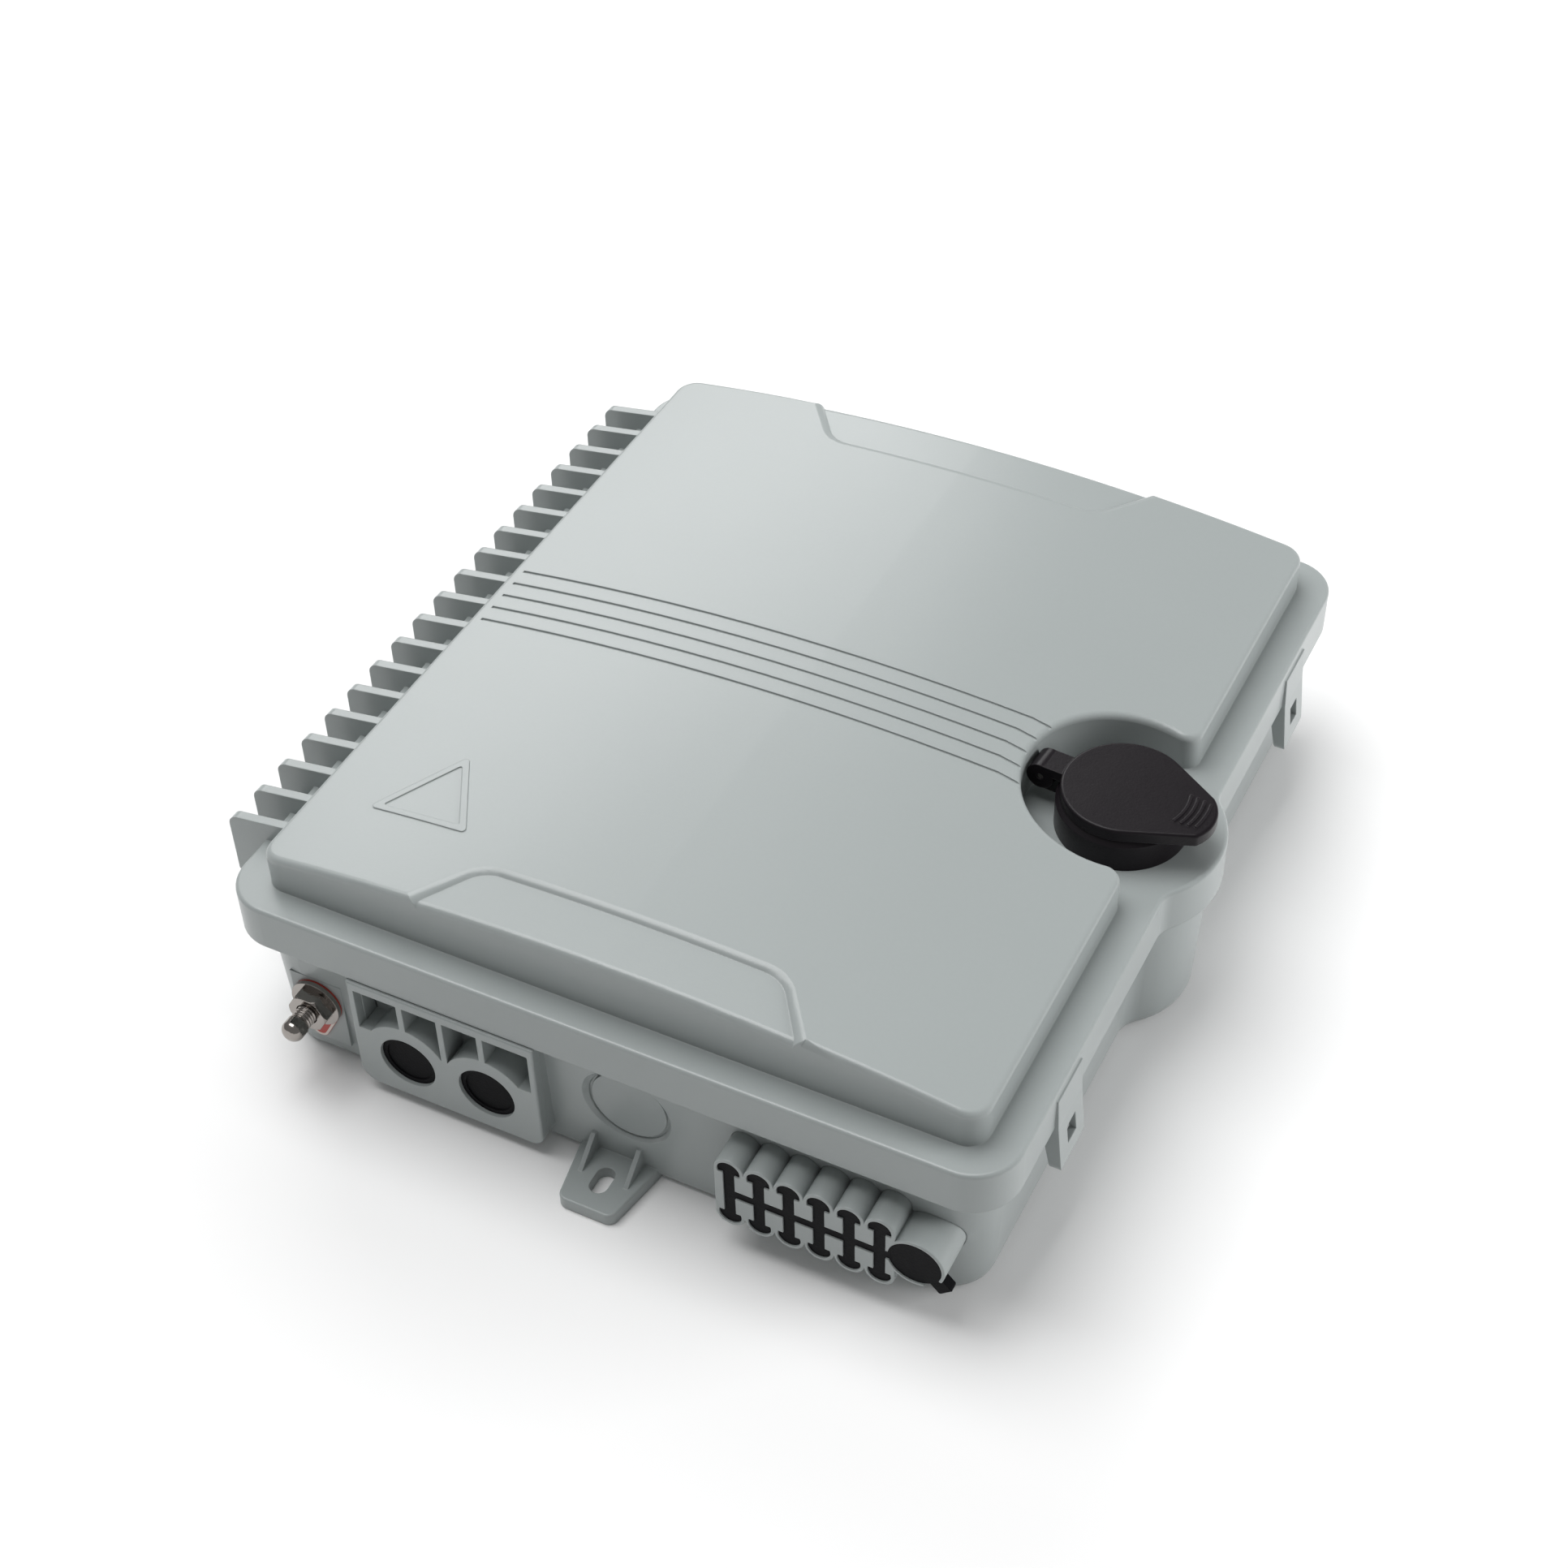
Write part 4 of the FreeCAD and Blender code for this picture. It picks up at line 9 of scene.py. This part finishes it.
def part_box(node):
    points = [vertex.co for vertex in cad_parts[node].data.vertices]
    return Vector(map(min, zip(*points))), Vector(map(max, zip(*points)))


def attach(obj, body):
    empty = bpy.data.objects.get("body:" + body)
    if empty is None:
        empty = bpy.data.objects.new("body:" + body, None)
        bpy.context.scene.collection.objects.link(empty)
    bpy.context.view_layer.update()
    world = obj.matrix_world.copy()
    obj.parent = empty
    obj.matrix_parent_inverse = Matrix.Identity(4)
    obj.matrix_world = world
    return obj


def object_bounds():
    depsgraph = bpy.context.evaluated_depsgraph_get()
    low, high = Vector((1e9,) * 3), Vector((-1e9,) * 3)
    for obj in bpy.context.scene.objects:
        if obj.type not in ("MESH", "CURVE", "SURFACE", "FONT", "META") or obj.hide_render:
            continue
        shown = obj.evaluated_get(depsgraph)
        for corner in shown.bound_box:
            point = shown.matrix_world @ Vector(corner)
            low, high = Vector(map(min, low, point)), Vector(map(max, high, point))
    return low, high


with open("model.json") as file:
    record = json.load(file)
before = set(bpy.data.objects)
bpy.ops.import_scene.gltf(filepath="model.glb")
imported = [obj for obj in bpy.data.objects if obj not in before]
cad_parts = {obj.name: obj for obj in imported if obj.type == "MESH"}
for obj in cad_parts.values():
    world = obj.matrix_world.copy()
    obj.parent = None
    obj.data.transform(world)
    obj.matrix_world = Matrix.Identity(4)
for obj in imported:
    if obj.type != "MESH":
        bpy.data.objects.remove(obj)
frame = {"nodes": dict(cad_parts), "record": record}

cad_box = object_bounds()
nodes = frame["nodes"]
scene = bpy.context.scene
scene.view_settings.view_transform = "Standard"


# ---------------------------------------------------------------- camera

CAMERA_PLACE = Vector((0.27157, -0.53651, 0.60987))
CAMERA_AZIMUTH = math.radians(27.724)
CAMERA_ELEVATION = math.radians(43.615)
CAMERA_ROLL = math.radians(1.591)
CAMERA_LENS = 59.82
SENSOR_WIDTH = 36.0
FARTHEST_SEEN = 10.0


def make_camera():
    """A camera above the port end and the lock side, turned by azimuth, elevation and a slight roll."""
    data = bpy.data.cameras.new("camera")
    data.lens = CAMERA_LENS
    data.sensor_width = SENSOR_WIDTH
    data.clip_end = FARTHEST_SEEN
    camera = bpy.data.objects.new("camera", data)
    scene.collection.objects.link(camera)
    ahead = Vector((
        -math.sin(CAMERA_AZIMUTH) * math.cos(CAMERA_ELEVATION),
        math.cos(CAMERA_AZIMUTH) * math.cos(CAMERA_ELEVATION),
        -math.sin(CAMERA_ELEVATION),
    ))
    level = Vector((math.cos(CAMERA_AZIMUTH), math.sin(CAMERA_AZIMUTH), 0.0))
    down = ahead.cross(level)
    right = math.cos(CAMERA_ROLL) * level + math.sin(CAMERA_ROLL) * down
    low = -math.sin(CAMERA_ROLL) * level + math.cos(CAMERA_ROLL) * down
    turn = Matrix((right, -low, -ahead)).transposed()
    camera.matrix_world = Matrix.Translation(CAMERA_PLACE) @ turn.to_4x4()
    scene.camera = camera


# ---------------------------------------------------------------- floor and light

FLOOR_HALF_WIDTH = 4.0
FLOOR_GAP = 0.0002
FLOOR_COLOUR = (0.9, 0.9, 0.9, 1.0)
FLOOR_ROUGHNESS = 0.9
WHITE = (1.0, 1.0, 1.0, 1.0)
WORLD_STRENGTH = 0.28


def make_floor():
    """A plain pale plane just under the part."""
    mesh = bpy.data.meshes.new("floor")
    form = bmesh.new()
    bmesh.ops.create_grid(form, x_segments=2, y_segments=2, size=FLOOR_HALF_WIDTH)
    form.to_mesh(mesh)
    form.free()
    floor = bpy.data.objects.new("floor", mesh)
    floor.location = (0.0, 0.0, cad_box[0][2] - FLOOR_GAP)
    scene.collection.objects.link(floor)
    material = bpy.data.materials.new("floor")
    material.use_nodes = True
    shader = material.node_tree.nodes["Principled BSDF"]
    shader.inputs["Base Color"].default_value = FLOOR_COLOUR
    shader.inputs["Roughness"].default_value = FLOOR_ROUGHNESS
    mesh.materials.append(material)


def softbox(name, place, target, size, power, mirrored=True):
    """A soft rectangular light; one that isn't mirrored lights the surfaces without a glare on them."""
    data = bpy.data.lights.new(name, "AREA")
    data.shape = "RECTANGLE"
    data.size, data.size_y = size
    data.energy = power
    lamp = bpy.data.objects.new(name, data)
    lamp.visible_glossy = mirrored
    lamp.location = place
    lamp.rotation_euler = (Vector(target) - Vector(place)).to_track_quat("-Z", "Y").to_euler()
    scene.collection.objects.link(lamp)


def make_light():
    """An even white surround, a large light overhead, one behind the hinge side and one beside the lock."""
    world = bpy.data.worlds.new("world")
    world.use_nodes = True
    background = world.node_tree.nodes["Background"]
    background.inputs["Color"].default_value = WHITE
    background.inputs["Strength"].default_value = WORLD_STRENGTH
    scene.world = world
    softbox("top_softbox", place=(-0.5, 0.05, 1.7), target=(0.0, 0.0, 0.05), size=(1.3, 1.3), power=27.0)
    softbox("back_softbox", place=(-1.4, 1.75, 1.4), target=(0.0, 0.0, 0.05), size=(1.5, 1.0), power=19.0)
    softbox(
        "right_softbox", place=(1.5, 0.65, 0.5), target=(0.1, 0.0, 0.05), size=(0.9, 0.6), power=17.0,
        mirrored=False
    )


# ---------------------------------------------------------------- materials

CLOUD_SCALE = 14.0
SPECK_SCALE = 900.0
GLOSS_SCALE = 60.0
GRAIN_SCALE = 1400.0
SCRATCH_SCALE = (60.0, 2400.0, 2400.0)
BEVEL_SAMPLES = 6
# painted edge highlight: how far the edge rounding is sampled, and where the lighter colour starts and where
# it is full
EDGE_HIGHLIGHT_RADIUS = 0.0006
EDGE_HIGHLIGHT_STARTS = 0.985
EDGE_HIGHLIGHT_FULL = 0.85


def node_at(tree, kind, **values):
    """A shader node with its properties and sockets set by name."""
    made = tree.nodes.new(kind)
    for name, value in values.items():
        if hasattr(made, name):
            setattr(made, name, value)
        else:
            made.inputs[name.replace("_", " ").title()].default_value = value
    return made


def noise(tree, vector, scale, detail):
    """A noise pattern's value, read at the given vector."""
    pattern = node_at(tree, "ShaderNodeTexNoise", scale=scale, detail=detail)
    tree.links.new(vector, pattern.inputs["Vector"])
    return pattern.outputs["Fac"]


def mapped(tree, value, low, high, **limits):
    """The value spread from low to high."""
    spread = node_at(tree, "ShaderNodeMapRange", to_min=low, to_max=high, **limits)
    tree.links.new(value, spread.inputs["Value"])
    return spread.outputs["Result"]


def product(tree, first, second):
    """Two values multiplied."""
    both = node_at(tree, "ShaderNodeMath", operation="MULTIPLY")
    tree.links.new(first, both.inputs[0])
    tree.links.new(second, both.inputs[1])
    return both.outputs["Value"]


def rounded_normal(tree, radius):
    """The surface normal as it would be with every edge rounded to the radius."""
    rounded = node_at(tree, "ShaderNodeBevel", samples=BEVEL_SAMPLES)
    rounded.inputs["Radius"].default_value = radius
    return rounded.outputs["Normal"]


def bumped(tree, height, depth, normal=None):
    """A normal that follows a height pattern of the given depth."""
    bump = node_at(tree, "ShaderNodeBump", strength=1.0, distance=depth)
    tree.links.new(height, bump.inputs["Height"])
    if normal is not None:
        tree.links.new(normal, bump.inputs["Normal"])
    return bump.outputs["Normal"]


def tinted(tree, colour, amount):
    """A colour multiplied by an uneven amount."""
    tint = node_at(tree, "ShaderNodeMix", data_type="RGBA", blend_type="MULTIPLY")
    tint.inputs[0].default_value = 1.0
    tint.inputs[6].default_value = (*colour, 1.0)
    tree.links.new(amount, tint.inputs[7])
    return tint.outputs[2]


def painted_edge_highlight(tree, colour, edge_highlight, clouds):
    """The colour, giving way in patches to a lighter one where the surface turns an edge: a painted highlight
    on the edges.
    """
    geometry = node_at(tree, "ShaderNodeNewGeometry")
    edge = node_at(tree, "ShaderNodeVectorMath", operation="DOT_PRODUCT")
    tree.links.new(geometry.outputs["Normal"], edge.inputs[0])
    tree.links.new(rounded_normal(tree, EDGE_HIGHLIGHT_RADIUS), edge.inputs[1])
    mask = mapped(tree, edge.outputs["Value"], 0.0, 1.0, from_min=EDGE_HIGHLIGHT_STARTS, from_max=EDGE_HIGHLIGHT_FULL)
    highlight_mix = node_at(tree, "ShaderNodeMix", data_type="RGBA")
    highlight_mix.inputs[7].default_value = (*edge_highlight, 1.0)
    tree.links.new(product(tree, mask, clouds), highlight_mix.inputs[0])
    tree.links.new(colour, highlight_mix.inputs[6])
    return highlight_mix.outputs[2]


def surface(name, colour, roughness, speckle=0.03, cloud=0.02, grain=0.00004, rough_spread=0.05, metallic=0.0,
            edge_highlight=None, scratches=0.0, soft_edge=0.0003, ior=1.5, alpha=1.0):
    """A procedural surface: cloudy and speckled colour, uneven gloss, moulded grain and painted highlights in
    patches along edges.
    """
    material = bpy.data.materials.new(name)
    material.use_nodes = True
    tree = material.node_tree
    shader = tree.nodes["Principled BSDF"]
    shader.inputs["Metallic"].default_value = metallic
    shader.inputs["IOR"].default_value = ior
    shader.inputs["Alpha"].default_value = alpha
    place = node_at(tree, "ShaderNodeTexCoord").outputs["Object"]

    clouds = noise(tree, place, CLOUD_SCALE, 3.0)
    specks = noise(tree, place, SPECK_SCALE, 2.0)
    cloudiness = mapped(tree, clouds, 1.0 - cloud, 1.0 + cloud)
    speckles = mapped(tree, specks, 1.0 - speckle, 1.0 + speckle)
    shade = tinted(tree, colour, product(tree, cloudiness, speckles))
    # a lighter colour painted along edges as a highlight
    if edge_highlight is not None:
        shade = painted_edge_highlight(tree, shade, edge_highlight, clouds)
    tree.links.new(shade, shader.inputs["Base Color"])

    gloss = noise(tree, place, GLOSS_SCALE, 4.0)
    uneven_gloss = mapped(tree, gloss, roughness - rough_spread, roughness + rough_spread)
    tree.links.new(uneven_gloss, shader.inputs["Roughness"])

    normal = bumped(tree, noise(tree, place, GRAIN_SCALE, 2.0), grain, rounded_normal(tree, soft_edge))
    if scratches > 0.0:
        stretch = node_at(tree, "ShaderNodeMapping", scale=SCRATCH_SCALE)
        tree.links.new(place, stretch.inputs["Vector"])
        normal = bumped(tree, noise(tree, stretch.outputs["Vector"], 1.0, 3.0), scratches, normal)
    tree.links.new(normal, shader.inputs["Normal"])
    return material


GREY = (0.315, 0.343, 0.341)
# a lighter grey, painted along the housing's edges as a highlight
HIGHLIGHT_GREY = (0.41, 0.445, 0.44)
MATERIALS = {
    "housing": surface(
        "housing_plastic", GREY, 0.28, speckle=0.015, grain=0.000012, rough_spread=0.01, edge_highlight=HIGHLIGHT_GREY,
        soft_edge=0.0005
    ),
    "port_moulding": surface(
        "port_plastic", GREY, 0.3, speckle=0.015, grain=0.000012, rough_spread=0.02, edge_highlight=HIGHLIGHT_GREY,
        soft_edge=0.0005
    ),
    "black_rubber": surface("black_rubber", (0.004, 0.004, 0.005), 0.6, speckle=0.2, grain=0.00008, ior=1.2),
    "gasket": surface("seal_rubber", (0.03, 0.03, 0.032), 0.75, speckle=0.2),
    # the lighter edge colour given here is a painted highlight
    "black_plastic": surface(
        "black_plastic", (0.009, 0.007, 0.009), 0.32, speckle=0.12, edge_highlight=(0.05, 0.045, 0.05),
        soft_edge=0.0004, ior=1.28
    ),
    "lock_metal": surface("lock_metal", (0.66, 0.65, 0.64), 0.22, metallic=1.0, scratches=0.00001),
    # base colour darker than plated steel, standing in for dark reflections: a painted reflection
    "steel": surface(
        "plated_steel", (0.34, 0.315, 0.295), 0.12, metallic=1.0, cloud=0.08, scratches=0.000006
    ),
    "zinc_sheet": surface("zinc_sheet", (0.58, 0.6, 0.61), 0.36, metallic=1.0, cloud=0.12, scratches=0.00002),
    "brass": surface("brass", (0.74, 0.53, 0.22), 0.3, metallic=1.0, cloud=0.1, scratches=0.00001),
    # the lighter edge colour given here is a painted highlight
    "red_tag": surface("red_tag", (0.42, 0.03, 0.015), 0.3, cloud=0.08, edge_highlight=(0.6, 0.25, 0.2)),
    "tag_border": surface("tag_border", (0.70, 0.60, 0.55), 0.4, cloud=0.06),
    "inner_plastic": surface("inner_plastic", (0.44, 0.49, 0.48), 0.5, cloud=0.04),
    "tray_plastic": surface("tray_plastic", (0.58, 0.61, 0.60), 0.42, cloud=0.03),
    "clear_plastic": surface("clear_plastic", (0.62, 0.68, 0.68), 0.12, alpha=0.12, speckle=0.0),
    # the lighter edge colour given here is a painted highlight
    "adapter_green": surface("adapter_green", (0.02, 0.24, 0.085), 0.36, cloud=0.05, edge_highlight=(0.08, 0.36, 0.17)),
    "cap_white": surface("cap_white", (0.74, 0.74, 0.71), 0.45, cloud=0.04),
}


def finish_cad_nodes():
    """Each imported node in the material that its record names."""
    slots = {part["node"]: part["material_slot"] for part in frame["record"]["subparts"]}
    for name, item in nodes.items():
        item.data.materials.clear()
        item.data.materials.append(MATERIALS[slots[name]])


# ---------------------------------------------------------------- border printed round the ground tag

TAG_TIP_RADIUS = 0.0032
TAG_TIP_SHIFT = -0.0012
TAG_BORDER_INSETS = (0.0001, 0.0009)
TAG_BORDER_RISE = 0.00006


def drop_outline(inset, steps=24):
    """Points (x, z) round the tag's drop shape: an arc about its head, then one about its tip."""
    low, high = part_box("ground_tag")
    head_radius = (high[0] - low[0]) / 2
    head = ((low[0] + high[0]) / 2, high[2] - head_radius)
    tip = (head[0] + TAG_TIP_SHIFT, low[2] + TAG_TIP_RADIUS)
    lean = math.atan2(tip[1] - head[1], tip[0] - head[0])
    spread = math.acos((head_radius - TAG_TIP_RADIUS) / math.dist(head, tip))
    points = []
    arcs = (
        (head, head_radius - inset, lean + spread, lean + 2 * math.pi - spread),
        (tip, TAG_TIP_RADIUS - inset, lean - spread, lean + spread),
    )
    for centre, radius, first, last in arcs:
        for step in range(steps + 1):
            turn = first + (last - first) * step / steps
            points.append((centre[0] + radius * math.cos(turn), centre[1] + radius * math.sin(turn)))
    return points


def make_tag_border():
    """A thin raised line that follows the edge of the ground tag."""
    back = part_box("ground_tag")[0][1] + TAG_BORDER_RISE
    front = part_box("ground_tag")[0][1] - TAG_BORDER_RISE
    outer, inner = (drop_outline(inset) for inset in TAG_BORDER_INSETS)
    count = len(outer)
    rings = [(outer, back), (outer, front), (inner, front), (inner, back)]
    points = [(x, depth, z) for outline, depth in rings for x, z in outline]
    faces = []
    for ring in range(4):
        first, second = ring * count, (ring + 1) % 4 * count
        for index in range(count):
            after = (index + 1) % count
            faces.append((first + index, first + after, second + after, second + index))
    mesh = bpy.data.meshes.new("ground_tag_border")
    mesh.from_pydata(points, [], faces)
    mesh.validate()
    mesh.materials.append(MATERIALS["tag_border"])
    border = bpy.data.objects.new("ground_tag_border", mesh)
    scene.collection.objects.link(border)
    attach(border, "base")


make_camera()
make_floor()
make_light()
finish_cad_nodes()
make_tag_border()
